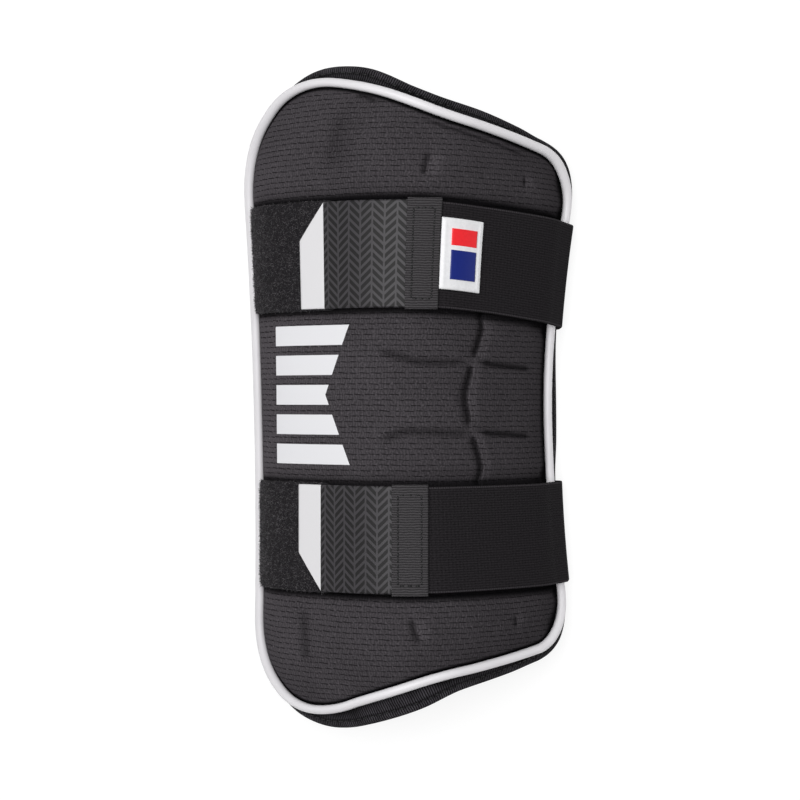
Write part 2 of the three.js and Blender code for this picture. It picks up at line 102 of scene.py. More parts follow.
# Width of the flange past the seam near these pattern points, clockwise: s, y, width in mm.
FLANGE = (
    (-89.3, 60.0, 7.0),
    (-82.0, 125.0, 5.0),
    (-62.0, 147.0, 4.0),
    (-40.0, 153.0, 7.6),
    (-22.0, 149.5, 9.2),
    (-4.0, 143.5, 7.3),
    (25.0, 132.0, 8.3),
    (50.0, 127.0, 7.2),
    (68.0, 122.0, 6.2),
    (85.0, 109.0, 10.0),
    (89.5, 80.0, 9.0),
    (88.0, 36.0, 11.0),
    (87.0, 0.0, 14.2),
    (87.5, -22.0, 13.8),
    (88.5, -40.0, 11.0),
    (90.5, -80.0, 8.8),
    (86.0, -114.0, 9.4),
    (70.0, -124.0, 7.2),
    (50.0, -128.0, 8.1),
    (20.0, -132.0, 9.6),
    (0.0, -138.0, 12.2),
    (-20.0, -146.0, 11.8),
    (-40.0, -152.0, 9.4),
    (-56.0, -153.0, 6.6),
    (-72.0, -145.0, 5.2),
    (-89.0, -100.0, 6.5),
)
PANEL = {"thick": 3.5, "pressed": 2.0}
BINDING = {"tape": 1.0, "width": 11.5, "fold": 1.5, "slack": 0.5, "seam": 3.4}
PIPE_RADIUS = 2.2
PAD = {"base": 4.1, "edge": 5.0, "full": 12.5, "from": 2.5, "to": 30.0, "power": 2.2, "fade": 8.0}

# Straps: where they lie along the leg, and where their pieces begin and end across the shin.
STRAPS = (
    {"name": "upper", "y": 68.0, "edge": 61.0, "end": 66.0, "side": 1, "square": False,
     "loop": (-86.2, 10.5), "hook": (-43.5, 4.85), "cut": -30.4, "joint": 5.15, "web": (0.0, 10.7),
     "tuck": (2.4, 0.6), "drop": 1.3},
    {"name": "lower", "y": -68.0, "edge": -68.0, "end": -68.0, "side": -1, "square": True,
     "loop": (-86.7, 6.5), "hook": (-47.5, 0.65), "cut": -34.6, "joint": 0.95, "web": (-5.0, 6.9),
     "tuck": (0.0, 0.0), "drop": 0.0},
)
SEAM_LEFT, SEAM_RIGHT = -89.2, 89.8
STRAP_FLANGE = {"left": 7.2, "right": 10.4}
PRESS = {"depth": 2.4, "half": 26.8, "ease": 8.0}
LAYER = {"loop": 2.0, "hook": 1.6, "web": 1.6, "elastic": 1.6, "label": 2.0}
WIDTH = {"loop": 54.0, "hook": 51.4, "web": 53.0, "elastic": 50.8}
HOOK_CUT = 18.0
HOOK_BASE = PAD["full"] + GAP + LAYER["loop"] + GAP
WEB_BASE = HOOK_BASE + LAYER["hook"] + GAP
STRAP_END = -68.0

# Loop panels: share of the layer that is their ground, how far in the edges lie, the corners' radius and the
# tuck of the edges under the tab, in mm, and the first panel's random seed.
LOOP = {"ground": 0.8, "inset": 0.5, "corner": 6.5, "tuck": 1.3, "seed": 11}

# Label and its raised rim in mm; slant is a slope.
LABEL = {"from": 11.0, "to": 27.4, "low": 50.4, "high": 84.6, "dome": 0.6, "slant": 0.1}
LABEL_RIM = {"rise": 0.35, "inset": 1.5, "half": 0.7, "across": 20.0, "along": 34.0}

# Bars on the label: name, lower and upper edge in mm, colour.
LABEL_BARS = (("label_bar_high", 71.6, 79.6, "label_red"), ("label_bar_low", 55.4, 69.4, "label_blue"))

# Dents and creases of the pad's cloth: points (s, y), half width on the right and left of the way along
# them, depth, how far the cloth swells on the left, all in mm, and how dark its painted shade is, from 0 to
# 1.
DENTS = (
    ("right groove, upper", ((34.6, 45.0), (33.6, 36.0), (32.6, 32.0), (30.0, 23.1), (28.0, 18.6)),
     2.4, 0.7, 3.0, 0.6, 0.75),
    ("right groove, waist", ((25.2, 15.6), (26.9, 13.4), (26.4, 10.5), (24.6, 4.0), (24.1, 0.2),
                             (24.4, -3.5), (25.8, -9.8), (25.9, -14.5)), 2.4, 0.7, 3.0, 0.9, 0.75),
    ("right groove, lower", ((27.0, -18.4), (29.2, -21.4), (31.4, -28.5), (32.8, -35.0), (33.0, -45.0)),
     2.4, 0.7, 3.0, 0.9, 0.75),
    ("right groove, knee end", ((51.4, 107.6), (51.2, 102.6)), 0.9, 0.6, 1.6, 0.5, 0.7),
    ("right groove, ankle end", ((48.2, -107.2), (49.4, -112.4)), 1.1, 0.7, 1.8, 0.6, 0.75),
    ("left groove", ((-8.5, 46.0), (-11.4, 34.2), (-19.0, 3.3), (-16.9, -20.6), (-12.5, -44.0)),
     5.0, 5.0, 1.1, 0.6, 0.0),
    ("left groove, knee end", ((6.6, 116.4), (5.6, 111.8), (4.9, 105.8)), 0.9, 0.6, 2.0, 0.8, 0.75),
    ("left groove, ankle end", ((0.5, -106.4), (0.8, -110.9), (2.3, -117.6)), 1.2, 0.7, 2.0, 0.8, 0.65),
    ("upper crease, left", ((-9.4, 21.9), (-5.0, 19.7), (-1.1, 18.2), (4.5, 16.1), (10.2, 15.8),
                            (23.6, 15.9)), 1.3, 2.0, 2.0, 0.7, 0.45),
    ("upper crease, right", ((32.0, 16.9), (36.1, 15.9), (41.6, 15.2), (49.3, 14.6), (64.0, 13.4)),
     1.2, 1.4, 2.4, 0.5, 0.8),
    ("lower crease, left", ((-8.4, -22.0), (-4.6, -19.1), (-1.2, -17.6), (3.3, -17.1), (10.2, -17.4),
                            (25.8, -18.5)), 1.3, 1.9, 2.0, 0.6, 0.4),
    ("lower crease, right", ((32.4, -17.0), (38.2, -18.0), (47.7, -18.4), (64.0, -19.7)),
     1.2, 1.4, 2.4, 0.5, 0.8),
    ("ankle valley", ((-49.2, -104.0), (-47.8, -130.0)), 3.6, 3.4, 2.0, 0.0, 0.36),
    ("knee ridge", ((-31.4, 142.6), (-34.8, 131.4), (-38.5, 115.9), (-39.9, 104.5)),
     4.0, 3.4, -2.2, 0.0, 0.0),
    ("knee hollow", ((-23.5, 141.0), (-26.5, 131.0), (-30.0, 115.0), (-31.5, 107.0)),
     3.6, 11.0, 1.8, 0.0, 0.26),
    ("knee edge fold", ((4.2, 133.2), (11.6, 130.0), (24.5, 125.8), (39.0, 122.2), (54.0, 118.2)),
     1.0, 1.0, 1.3, 0.4, 0.6),
    ("knee tuck", ((-21.5, 146.0), (-17.5, 144.2), (-12.5, 141.6)), 1.3, 1.0, 0.8, 0.0, 0.7),
)

# Shares of a dent's half width: its line of painted shade, and the middle and half width of the ridge on its
# left.
DENT_LINE = {"dark": 0.8, "ridge": 2.6, "ridge_half": 1.7}

# Band of painted light on the cloth on the left of a dent that faces the light: the half width below which a
# dent's left side is steep enough, and the band's middle and half width, all in mm.
LIT_BAND = {"steep": 1.0, "middle": 3.3, "half": 2.2}
SWELL = {"reach": 2.2, "pressure": 4.0, "frames": 20, "held_rim": 6.0, "held_dent": 1.0}

# Painted shade and light from 0 to 1: painted shade on the front cloth at the rim and beside the straps,
# painted light on the left flank and beyond dents, and painted shade on the tape beside the piping.
SHADE = {"rim": 0.94, "strap": 0.92, "flank": 0.88, "beyond": 0.5, "pipe": 0.8}

# Stitches: how many go round the edge, and how thick the threads are in mm.
EDGE_STITCHES = 260
THREAD = {"edge": 0.6, "box": 0.8}

# Studio: the camera's place over the flat pattern and its sensor in mm, its focal length and the frame's
# width in pixels.
CAMERA = {"x": -2.0, "y": -1.5, "height": 1078.0, "focal": 2106.0, "frame": 800.0, "sensor": 36.0}
FLOOR = {"half": 30.0, "below": 0.5 * MM, "glow": 0.82}
WORLD_STRENGTH = 0.08

# Lamps: name, place, width and length in metres, power in watts.
LAMPS = (
    ("overhead", (-0.25, 0.2, 1.62), 1.3, 1.3, 29.0),
    ("side", (-1.3, 0.1, 0.5), 0.4, 1.3, 1.6),
)
WHITE = (1.0, 1.0, 1.0, 1.0)


def linear(code):
    """sRGB hex code to the linear colour that shaders take."""
    value = np.array([int(code[i:i + 2], 16) for i in (1, 3, 5)]) / 255.0
    return tuple(np.where(value <= 0.04045, value / 12.92, ((value + 0.055) / 1.055) ** 2.4))


def measure(name, size, description):
    """Length property with a default in mm."""
    return bpy.props.FloatProperty(name=name, description=description, default=size * MM, unit="LENGTH")


def colour(name, code, description):
    """Colour property with an sRGB hex default."""
    return bpy.props.FloatVectorProperty(
        name=name, description=description, subtype="COLOR", size=3, min=0, max=1, default=linear(code))


class LegGuardSizes(bpy.types.PropertyGroup):
    """Sizes of the cloth patterns and seams.

    Ribs and rows under about 1.1 mm don't show in the render, so those of tape, webbing and elastic are
    drawn that coarse."""

    row_pitch: measure("Dash rows", 2.6, "Spacing of the rows of dashes in the front cloth")
    dash_pitch: measure("Dash period", 5.85, "Spacing of the dashes in a row")
    tape_rib: measure("Tape ribs", 1.1, "Spacing of the ribs of the edge tape")
    web_rib: measure("Webbing ribs", 1.18, "Spacing of the ribs of the webbing")
    knit_pitch: measure("Elastic rows", 1.2, "Spacing of the knitted rows of the elastic")
    stitch: measure("Stitch", 2.4, "Length of one stitch")
    pile: measure("Pile", 1.5, "Height of the loop pile")
    fibres: bpy.props.IntProperty(
        name="Fibres", description="Number of pile fibres on a loop panel", default=13000, min=100)


class LegGuardColours(bpy.types.PropertyGroup):
    """Colours of the cloths, tapes and trims."""

    cloth: colour("Front cloth", "#3f3c3f", "Ground of the front cloth")
    dash: colour("Dashes", "#201e20", "Dashes woven into the front cloth")
    # Near black painted shade, mixed into the front cloth at the rim, beside the straps and in the dents.
    fold: colour("Painted shade", "#070708", "Front cloth where it turns out of sight")
    graphic: colour("Graphic", "#e2e2e5", "Bars printed on the front cloth")
    lining: colour("Lining", "#2a282a", "Inner panel against the leg")
    tape: colour("Edge tape", "#3f3d41", "Grosgrain tape round the edge")
    piping: colour("Piping", "#e9e7ea", "Cord along the seam")
    pile: colour("Loop pile", "#201e21", "Ground of the loop panels")
    pile_light: colour("Loose fibres", "#6e6b6e", "Fibres of the pile that catch the light")
    tab: colour("Tab", "#3d3b3e", "Ground of the pull tabs")
    tab_print: colour("Tab print", "#1e1d1e", "Herringbone printed on the pull tabs")
    tab_end: colour("Tab end", "#dcdbdd", "Light end of the pull tabs")
    webbing: colour("Webbing", "#454345", "Ribs of the webbing")
    thread: colour("Thread", "#1a1a1b", "Sewing thread")
    elastic: colour("Elastic", "#242224", "Knitted elastic")
    label: colour("Label", "#f3f3f5", "Moulded rubber label")
    label_blue: colour("Label blue", "#16277c", "Broad bar on the label")
    label_red: colour("Label red", "#fb2b33", "Narrow bar on the label")
    floor: colour("Floor", "#8c8c8c", "Studio floor")


def arch_walk(s):
    """Walk from the crown along three arcs: x and z at its end, the angle turned and the way left over."""
    rest = np.abs(s)
    x = np.zeros_like(rest)
    z = np.full_like(rest, CROWN_HEIGHT)
    angle = np.zeros_like(rest)
    start = 0.0
    for radius, end in ARCH:
        end = np.radians(end)
        reach = np.clip(rest, 0, radius * (end - start))
        x = x + radius * (np.sin(start + reach / radius) - np.sin(start))
        z = z - radius * (np.cos(start) - np.cos(start + reach / radius))
        angle = angle + reach / radius
        rest = rest - reach
        start = end
    return x, z, angle, rest


def section(s, h):
    """Point of the arched section: s is laid off along the arcs and a straight end, h along the normal."""
    s, h = np.broadcast_arrays(np.asarray(s, float), np.asarray(h, float))
    x, z, angle, rest = arch_walk(s)
    x = x + rest * np.cos(angle) + h * np.sin(angle)
    z = z - rest * np.sin(angle) + h * np.cos(angle)
    return np.where(s < 0, -x, x), z


def flare(y, key):
    """Parabola through zero at the waist and the stated values at the knee and ankle ends."""
    k, a = KNEE["y"], ANKLE["y"]
    return KNEE[key] * y * (y - a) / (k * (k - a)) + ANKLE[key] * y * (y - k) / (a * (a - k))


def place_unshifted(x, y, z):
    """Section point (x, z) at y, widened and shifted by the flare, in mm."""
    x, y, z = np.broadcast_arrays(x, np.asarray(y, float), z)
    return np.stack([flare(y, "shift") + (1 + flare(y, "wider")) * x, y, z], axis=-1)


def part_centre():
    """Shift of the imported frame: the upper webbing tab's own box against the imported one."""
    strap = STRAPS[0]
    y = strap["y"] + WIDTH["web"] * np.array([-0.5, -1 / 6, 1 / 6, 0.5])
    s = np.array(strap["web"])[:, None]
    points = place_unshifted(section(s, WEB_BASE + LAYER["web"])[0], y, 0.0)
    low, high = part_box(f"web_tab_{strap['name']}")
    return np.array([points[..., 0].max() - high[0] / MM, strap["y"] - (low[1] + high[1]) / 2 / MM, 0.0])


CENTRE = part_centre()


def place(x, y, z, flare_at=None):
    """Section point at y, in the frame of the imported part, in metres; flare_at squares a piece to one y."""
    if flare_at is None:
        return (place_unshifted(x, y, z) - CENTRE) * MM
    points = place_unshifted(x, flare_at, z)
    points[..., 1] = y
    return (points - CENTRE) * MM


def bend(s, y, h):
    """Flat pattern point (s, y) at height h, bent onto the arch, in metres."""
    x, z = section(s, h)
    return place(x, y, z)


def unit(vectors):
    """Vectors scaled to a length of one."""
    return vectors / np.linalg.norm(vectors, axis=-1, keepdims=True)


def run_length(line):
    """Distance along a polyline from its start to each of its points."""
    return np.concatenate([[0], np.cumsum(np.linalg.norm(np.diff(line, axis=0), axis=-1))])


def rounded(points, closed, step):
    """Path of straight runs whose corners are arcs: each point is (u, v, radius), step in degrees."""
    flat = np.array([p[:2] for p in points], float)
    out = []
    for i, (*_, radius) in enumerate(points):
        if radius == 0 or (not closed and i in (0, len(points) - 1)):
            out.append(flat[i:i + 1])
            continue
        a, b = unit(flat[i - 1] - flat[i]), unit(flat[(i + 1) % len(points)] - flat[i])
        half = np.arccos(np.clip(a @ b, -1, 1)) / 2
        middle = unit(a + b)
        centre = flat[i] + middle * radius / np.sin(half)
        first = flat[i] + a * radius / np.tan(half) - centre
        turn = np.pi - 2 * half
        turn = turn if first[0] * -middle[1] - first[1] * -middle[0] > 0 else -turn
        t = np.linspace(0, turn, max(3, int(abs(turn) / np.radians(step)) + 2))
        out.append(centre + np.stack([first[0] * np.cos(t) - first[1] * np.sin(t),
                                      first[0] * np.sin(t) + first[1] * np.cos(t)], axis=-1))
    return np.concatenate(out)


def spaced(line, count):
    """Points at equal distances along a polyline, ends included."""
    length = run_length(line)
    at = np.linspace(0, length[-1], count)
    return np.stack([np.interp(at, length, line[:, k]) for k in range(line.shape[1])], axis=-1)


def seam_samples(count=1600):
    """Closed seam line as equally spaced points, with outward directions (clockwise path)."""
    line = rounded(SEAM, True, 1.0)
    line = spaced(np.concatenate([line, line[:1]]), count + 1)[:-1]
    way = unit(np.roll(line, -2, axis=0) - np.roll(line, 2, axis=0))
    return line, np.stack([-way[:, 1], way[:, 0]], axis=-1)


SEAM_LINE, SEAM_OUT = seam_samples()


def ease(t):
    """Smooth step from 0 to 1."""
    t = np.clip(t, 0, 1)
    return t * t * (3 - 2 * t)


def flange_widths():
    """Width of the flange at every seam point: a cubic through the stations before and after it."""
    count = len(SEAM_LINE)
    rows = np.array(FLANGE)
    at = [int(np.argmin(np.linalg.norm(SEAM_LINE - row[:2], axis=1))) for row in rows]
    order = np.argsort(at)
    at, width = np.array(at)[order], rows[order, 2]
    at = np.concatenate([at[-2:] - count, at, at[:2] + count])
    width = np.concatenate([width[-2:], width, width[:2]])
    k = np.searchsorted(at[:-2], np.arange(count), side="right") - 1
    span = at[k + 1] - at[k]
    slope_start = (width[k + 1] - width[k - 1]) / (at[k + 1] - at[k - 1]) * span
    slope_end = (width[k + 2] - width[k]) / (at[k + 2] - at[k]) * span
    t = (np.arange(count) - at[k]) / span
    rise = ease(t)
    curve = t * (1 - t) * ((1 - t) * slope_start - t * slope_end)
    return width[k] * (1 - rise) + width[k + 1] * rise + curve


FLANGE_WIDTH = flange_widths()


def pattern_grid(offset, columns, rows):
    """Grid over the flat pattern: the offset seam is cut into four sides and blended (Coons patch)."""
    line = SEAM_LINE + SEAM_OUT * np.reshape(offset, (-1, 1))
    cuts = [int(np.argmin(np.linalg.norm(SEAM_LINE - np.array(c), axis=1))) for c in GRID_CORNERS]

    def side(k, count):
        span = (cuts[(k + 1) % 4] - cuts[k]) % len(line)
        return spaced(line[(cuts[k] + np.arange(span + 1)) % len(line)], count + 1)

    knee, right = side(0, columns), side(1, rows)[::-1]
    ankle, left = side(2, columns)[::-1], side(3, rows)
    u = np.linspace(0, 1, columns + 1)[None, :, None]
    v = np.linspace(0, 1, rows + 1)[:, None, None]
    grid = (1 - v) * ankle[None] + v * knee[None] + (1 - u) * left[:, None] + u * right[:, None]
    grid = grid - (1 - u) * (1 - v) * ankle[0] - u * (1 - v) * ankle[-1]
    grid = grid - (1 - u) * v * knee[0] - u * v * knee[-1]
    return grid[..., 0], grid[..., 1]


def cloth_length(s, y):
    """Length of the cover's cloth from the crown: at pad height it grows by that height times the turn."""
    turned = arch_walk(s)[2]
    return (s + np.sign(s) * PAD["full"] * turned) * (1 + flare(y, "wider"))


def seam_distance(s, y):
    """Distance of flat pattern points from the seam line."""
    points = np.stack([s.ravel(), y.ravel()], axis=-1)
    line = SEAM_LINE[::2]
    blocks = [np.sqrt(((b[:, None] - line[None]) ** 2).sum(-1).min(1)) for b in np.array_split(points, 40)]
    return np.concatenate(blocks).reshape(s.shape)


def shoulder(inset):
    """Height of the pad's top at a distance in from the seam: full height less a powered fall."""
    q = np.clip((inset - PAD["from"]) / (PAD["to"] - PAD["from"]), 0, 1)
    return PAD["full"] - (PAD["full"] - PAD["edge"]) * (1 - q) ** PAD["power"]


def bell(distance, half):
    """Bell curve: one in the middle, 1/e at the half width."""
    return np.exp(-((distance / half) ** 2))


def dents(s, y):
    """Depth, painted shade and painted light of the dents: each is a bell across its line, with a raised bell
    on its left.

    Depth and painted shade fade to a quarter at a line's ends. Where the left side is steep, a band of cloth
    beyond it faces the light and gets painted light."""
    total, dark, light = np.zeros_like(s), np.zeros_like(s), np.zeros_like(s)
    for _, points, half_right, half_left, depth, ridge, shade in DENTS:
        points = np.array(points)
        best = np.full(s.shape, 1e9)
        signed = np.zeros_like(s)
        past = np.zeros_like(s)
        length = run_length(points)
        for i, (a, b) in enumerate(zip(points[:-1], points[1:])):
            way = unit(b - a)
            along = np.clip((s - a[0]) * way[0] + (y - a[1]) * way[1], 0, length[i + 1] - length[i])
            ds, dy = s - a[0] - along * way[0], y - a[1] - along * way[1]
            far = np.hypot(ds, dy)
            nearer = far < best
            best = np.where(nearer, far, best)
            signed = np.where(nearer, np.sign(dy * way[0] - ds * way[1]) * far, signed)
            past = np.where(nearer, length[i] + along, past)
        taper = max(0.75 * (half_left + half_right), 0.12 * length[-1])
        ends = 0.25 + 0.75 * ease(np.minimum(past, length[-1] - past) / taper)
        half = np.where(signed > 0, half_left, half_right)
        ridge_middle, ridge_half = DENT_LINE["ridge"] * half_left, DENT_LINE["ridge_half"] * half_left
        total += depth * ends * bell(best, half)
        total -= ridge * ends * bell(signed - ridge_middle, ridge_half)
        # Painted shade along each dent's line.
        dark = np.maximum(dark, shade * ends * bell(best, DENT_LINE["dark"] * half))
        if half_left < LIT_BAND["steep"]:
            # Painted light on the band beyond a steep left side.
            light = np.maximum(light, ends * bell(signed - LIT_BAND["middle"], LIT_BAND["half"]))
    return total, dark, light


def grid_quads(rows, columns, wrap=False, start=0, flip=False):
    """Faces of a grid of rows by columns of points; wrap joins the last column to the first."""
    i = np.arange(rows - 1)[:, None]
    j = np.arange(columns if wrap else columns - 1)[None, :]
    k = (j + 1) % columns
    quads = np.stack(np.broadcast_arrays(i * columns + j, i * columns + k,
                                         (i + 1) * columns + k, (i + 1) * columns + j), axis=-1)
    quads = quads.reshape(-1, 4) + start
    return quads[:, ::-1] if flip else quads


def add_piece(name, points, faces, uv=None, attributes=None):
    """Mesh object at the origin from points and one or more arrays of faces, with a UV map and attributes."""
    mesh = bpy.data.meshes.new(name)
    blocks = faces if isinstance(faces, tuple) else (faces,)
    mesh.from_pydata(np.asarray(points).tolist(), [], sum((block.tolist() for block in blocks), []))
    mesh.polygons.foreach_set("use_smooth", np.ones(len(mesh.polygons), bool))
    if uv is not None:
        corner = np.empty(len(mesh.loops), np.int32)
        mesh.loops.foreach_get("vertex_index", corner)
        layer = mesh.uv_layers.new(name="cloth")
        layer.data.foreach_set("uv", np.asarray(uv, np.float32)[corner].ravel())
    for key, values in (attributes or {}).items():
        made = mesh.attributes.new(key, "FLOAT", "POINT")
        made.data.foreach_set("value", np.asarray(values, np.float32))
    mesh.update()
    piece = bpy.data.objects.new(name, mesh)
    bpy.context.collection.objects.link(piece)
    return piece


def finish_piece(piece, material, slot, *nodes):
    """Gives a piece its material, its body and the nodes that it stands for."""
    piece.data.materials.append(material)
    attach(piece, BODY)
    if nodes:
        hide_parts(*nodes)


def strip_profile(width, thick, across, round_cells=4):
    """Rounded strip section: upper half from left to right, then the lower half back, as (w, t)."""
    r = thick / 2
    a = (np.arange(round_cells) + 0.5) / round_cells * np.pi / 2
    flat = np.linspace(-width / 2 + r, width / 2 - r, across + 1)
    w = np.concatenate([-width / 2 + r * (1 - np.cos(a)), flat, width / 2 - r * (1 - np.cos(a[::-1]))])
    t = np.concatenate([r * np.sin(a), np.full(across + 1, r), r * np.sin(a[::-1])])
    return np.concatenate([w, w[::-1]]), np.concatenate([t, -t[::-1]])


def ribbon(path, low, high, thick, across, lift=None, flare_at=None, middle=0.0):
    """Closed strip carried along a path in the section: the profile stands on the path's normal.

    low and high are the strip's edges along the leg at each path point; lift adds to the upper face.
    Returns points, faces and UVs in metres (length along the path, place across it from the middle)."""
    way = unit(np.gradient(path, axis=0))
    normal = np.stack([-way[:, 1], way[:, 0]], axis=-1)
    length = run_length(path)
    width = float(np.max(high - low))
    w, t = strip_profile(width, thick, across)
    share = w[None, :] / width + 0.5
    y = low[:, None] + share * (high - low)[:, None]
    t = np.broadcast_to(t[None, :], y.shape).copy()
    if lift is not None:
        t = t + np.where(t > 0, lift(length[:, None] + 0 * y, y), 0)
    x = path[:, :1] + normal[:, :1] * t
    z = path[:, 1:] + normal[:, 1:] * t
    points = place(x, y, z, flare_at).reshape(-1, 3)
    rows, columns = y.shape
    quads = grid_quads(rows, columns, wrap=True, flip=True)
    half = np.arange(columns // 2 - 1)
    cap = np.stack([half, half + 1, columns - 2 - half, columns - 1 - half], axis=-1)
    quads = np.concatenate([quads, cap, cap[:, ::-1] + (rows - 1) * columns])
    v = y - np.reshape(middle, (-1, 1))
    uv = np.stack([np.broadcast_to(length[:, None], y.shape), v], axis=-1).reshape(-1, 2) * MM
    return points, quads, uv


def feed(tree, made, values):
    """Sets or links a node's inputs, each from a value or from another node's socket."""
    for key, value in values.items():
        if isinstance(value, bpy.types.NodeSocket):
            tree.links.new(value, made.inputs[key])
        else:
            made.inputs[key].default_value = value


def add_node(tree, kind, values, out=0, **settings):
    """Adds a shader node with its settings and inputs, and gives the stated output."""
    made = tree.nodes.new(f"ShaderNode{kind}")
    for key, value in settings.items():
        setattr(made, key, value)
    feed(tree, made, values)
    return made.outputs[out]


def new_material(name, roughness, specular, sheen=0.0):
    """Material with one Principled shader, and the tree and shader to work on."""
    material = bpy.data.materials.new(name)
    material.use_nodes = True
    tree = material.node_tree
    shader = tree.nodes["Principled BSDF"]
    feed(tree, shader, {"Roughness": roughness, "Specular IOR Level": specular,
                        "Sheen Weight": sheen, "Sheen Roughness": 0.5})
    return material, tree, shader


def wave(tree, value, pitch, offset=0.0):
    """Share of a pitch at which a coordinate in metres stands, from 0 to 1."""
    scaled = add_node(tree, "Math", {0: value, 1: 1 / pitch, 2: offset}, operation="MULTIPLY_ADD")
    return add_node(tree, "Math", {0: scaled}, operation="FRACT")


def band(tree, value, inner, outer):
    """One inside the inner distance from a middle of 0.5, falling smoothly to zero at the outer."""
    away = add_node(tree, "Math", {0: value, 1: 0.5}, operation="SUBTRACT")
    away = add_node(tree, "Math", {0: away}, operation="ABSOLUTE")
    return add_node(tree, "MapRange", {"Value": away, "From Min": outer, "From Max": inner},
                    interpolation_type="SMOOTHSTEP")


def surface(tree, shader, base, tone, height, strength, depth):
    """Gives a shader its base colour times a tone, and relief from a height, with its depth in metres."""
    shown = add_node(tree, "VectorMath", {0: base, "Scale": tone}, operation="SCALE")
    relief = add_node(tree, "Bump", {"Strength": strength, "Distance": depth, "Height": height})
    feed(tree, shader, {"Base Color": shown, "Normal": relief})


def rgb(values):
    """Colour socket value with its alpha."""
    return (*values, 1.0)


def piece_colours():
    """Colours set in the sidebar."""
    return bpy.context.scene.leg_guard_colours


def piece_sizes():
    """Pattern sizes set in the sidebar."""
    return bpy.context.scene.leg_guard_sizes


def cloth_coordinates(tree):
    """The piece's own UV map, in metres, whole and as two sockets."""
    uv = add_node(tree, "UVMap", {}, uv_map="cloth")
    parts = add_node(tree, "SeparateXYZ", {0: uv}).node.outputs
    return uv, parts[0], parts[1]


def dashed_polyester():
    """Woven polyester with floats: mottled charcoal with thin uneven dark dashes in brick rows.

    Faint upright threads cross the rows, and a smooth white print lies over all of it. Single threads
    don't show in the render, so the noise that stands for them is drawn about 1 mm coarse."""
    c, z = piece_colours(), piece_sizes()
    material, tree, shader = new_material("dashed_polyester_cloth", 0.78, 0.0)
    uv, s, y = cloth_coordinates(tree)
    # The fold attribute holds painted shade above zero and painted light below zero.
    fold = add_node(tree, "Attribute", {}, "Fac", attribute_name="fold")
    wander, uneven, threads, patches = (
        add_node(tree, "TexNoise", {"Vector": uv, "Scale": 1 / (size * MM), "Detail": detail})
        for size, detail in ((16.7, 2.0), (3.03, 1.0), (1.053, 3.0), (22.2, 3.0)))
    dash, s_bent = woven_dashes(tree, s, y, wander, uneven)
    ladder = band(tree, wave(tree, s_bent, z.dash_pitch / 4), 0.1, 0.5)
    specks = add_node(tree, "MapRange", {"Value": threads, "From Min": 0.6, "From Max": 0.72,
                                         "To Min": 0.0, "To Max": 0.45})
    tone = 0.5
    for value, weight in ((threads, 0.8), (patches, 0.3), (ladder, -0.3), (specks, 1.0)):
        tone = add_node(tree, "Math", {0: value, 1: weight, 2: tone}, operation="MULTIPLY_ADD")
    # Painted light: the cloth is made lighter toward the left flank than toward the right.
    painted_side_light = add_node(tree, "MapRange", {"Value": s, "From Min": -100 * MM, "From Max": 100 * MM,
                                      "To Min": 1.32, "To Max": 1.04})
    lit = add_node(tree, "MapRange", {"Value": fold, "From Min": -1.0, "From Max": 0.0,
                                      "To Min": 1.9, "To Max": 1.0})
    for factor in (painted_side_light, lit):
        tone = add_node(tree, "Math", {0: tone, 1: factor}, operation="MULTIPLY")
    shown = add_node(tree, "VectorMath", {0: tuple(c.cloth), "Scale": tone}, operation="SCALE")
    printed = bar_graphic(tree, s, y)
    # The fold colour is painted shade, mixed in where the fold attribute is above zero.
    for share, paint in ((dash, c.dash), (fold, c.fold), (printed, c.graphic)):
        shown = add_node(tree, "Mix", {"Factor": share, "A": shown, "B": rgb(paint)}, "Result",
                         data_type="RGBA")
    rough = add_node(tree, "MapRange", {"Value": printed, "To Min": 0.78, "To Max": 0.5})
    height = add_node(tree, "Math", {0: dash, 1: -0.7, 2: threads}, operation="MULTIPLY_ADD")
    height = add_node(tree, "Mix", {"Factor": printed, "A": height, "B": 0.8})
    relief = add_node(tree, "Bump", {"Strength": 0.55, "Distance": 0.35 * MM, "Height": height})
    feed(tree, shader, {"Base Color": shown, "Roughness": rough, "Normal": relief})
    return material


def woven_dashes(tree, s, y, wander, uneven):
    """Mask of slanting dashes, each row of which starts further along, and the bent place along a row."""
    z = piece_sizes()
    shift = add_node(tree, "Math", {0: wander, 1: 0.5}, operation="SUBTRACT")
    y_bent = add_node(tree, "Math", {0: shift, 1: 1.2 * MM, 2: y}, operation="MULTIPLY_ADD")
    s_bent = add_node(tree, "Math", {0: uneven, 1: 3.4 * MM, 2: s}, operation="MULTIPLY_ADD")
    rows = add_node(tree, "Math", {0: y_bent, 1: z.row_pitch}, operation="DIVIDE")
    row = add_node(tree, "Math", {0: rows}, operation="FLOOR")
    start = add_node(tree, "Math", {0: row, 1: 0.39}, operation="MULTIPLY")
    along = wave(tree, s_bent, z.dash_pitch, start)
    slant = add_node(tree, "Math", {0: along, 1: 0.14, 2: rows}, operation="MULTIPLY_ADD")
    line = add_node(tree, "Math", {0: slant}, operation="FRACT")
    weight = add_node(tree, "MapRange", {"Value": uneven, "From Min": 0.36, "From Max": 0.56,
                                         "To Min": 0.4, "To Max": 1.0})
    dash = band(tree, line, 0.03, 0.15)
    for factor in (band(tree, along, 0.4, 0.485), weight):
        dash = add_node(tree, "Math", {0: dash, 1: factor}, operation="MULTIPLY")
    return dash, s_bent


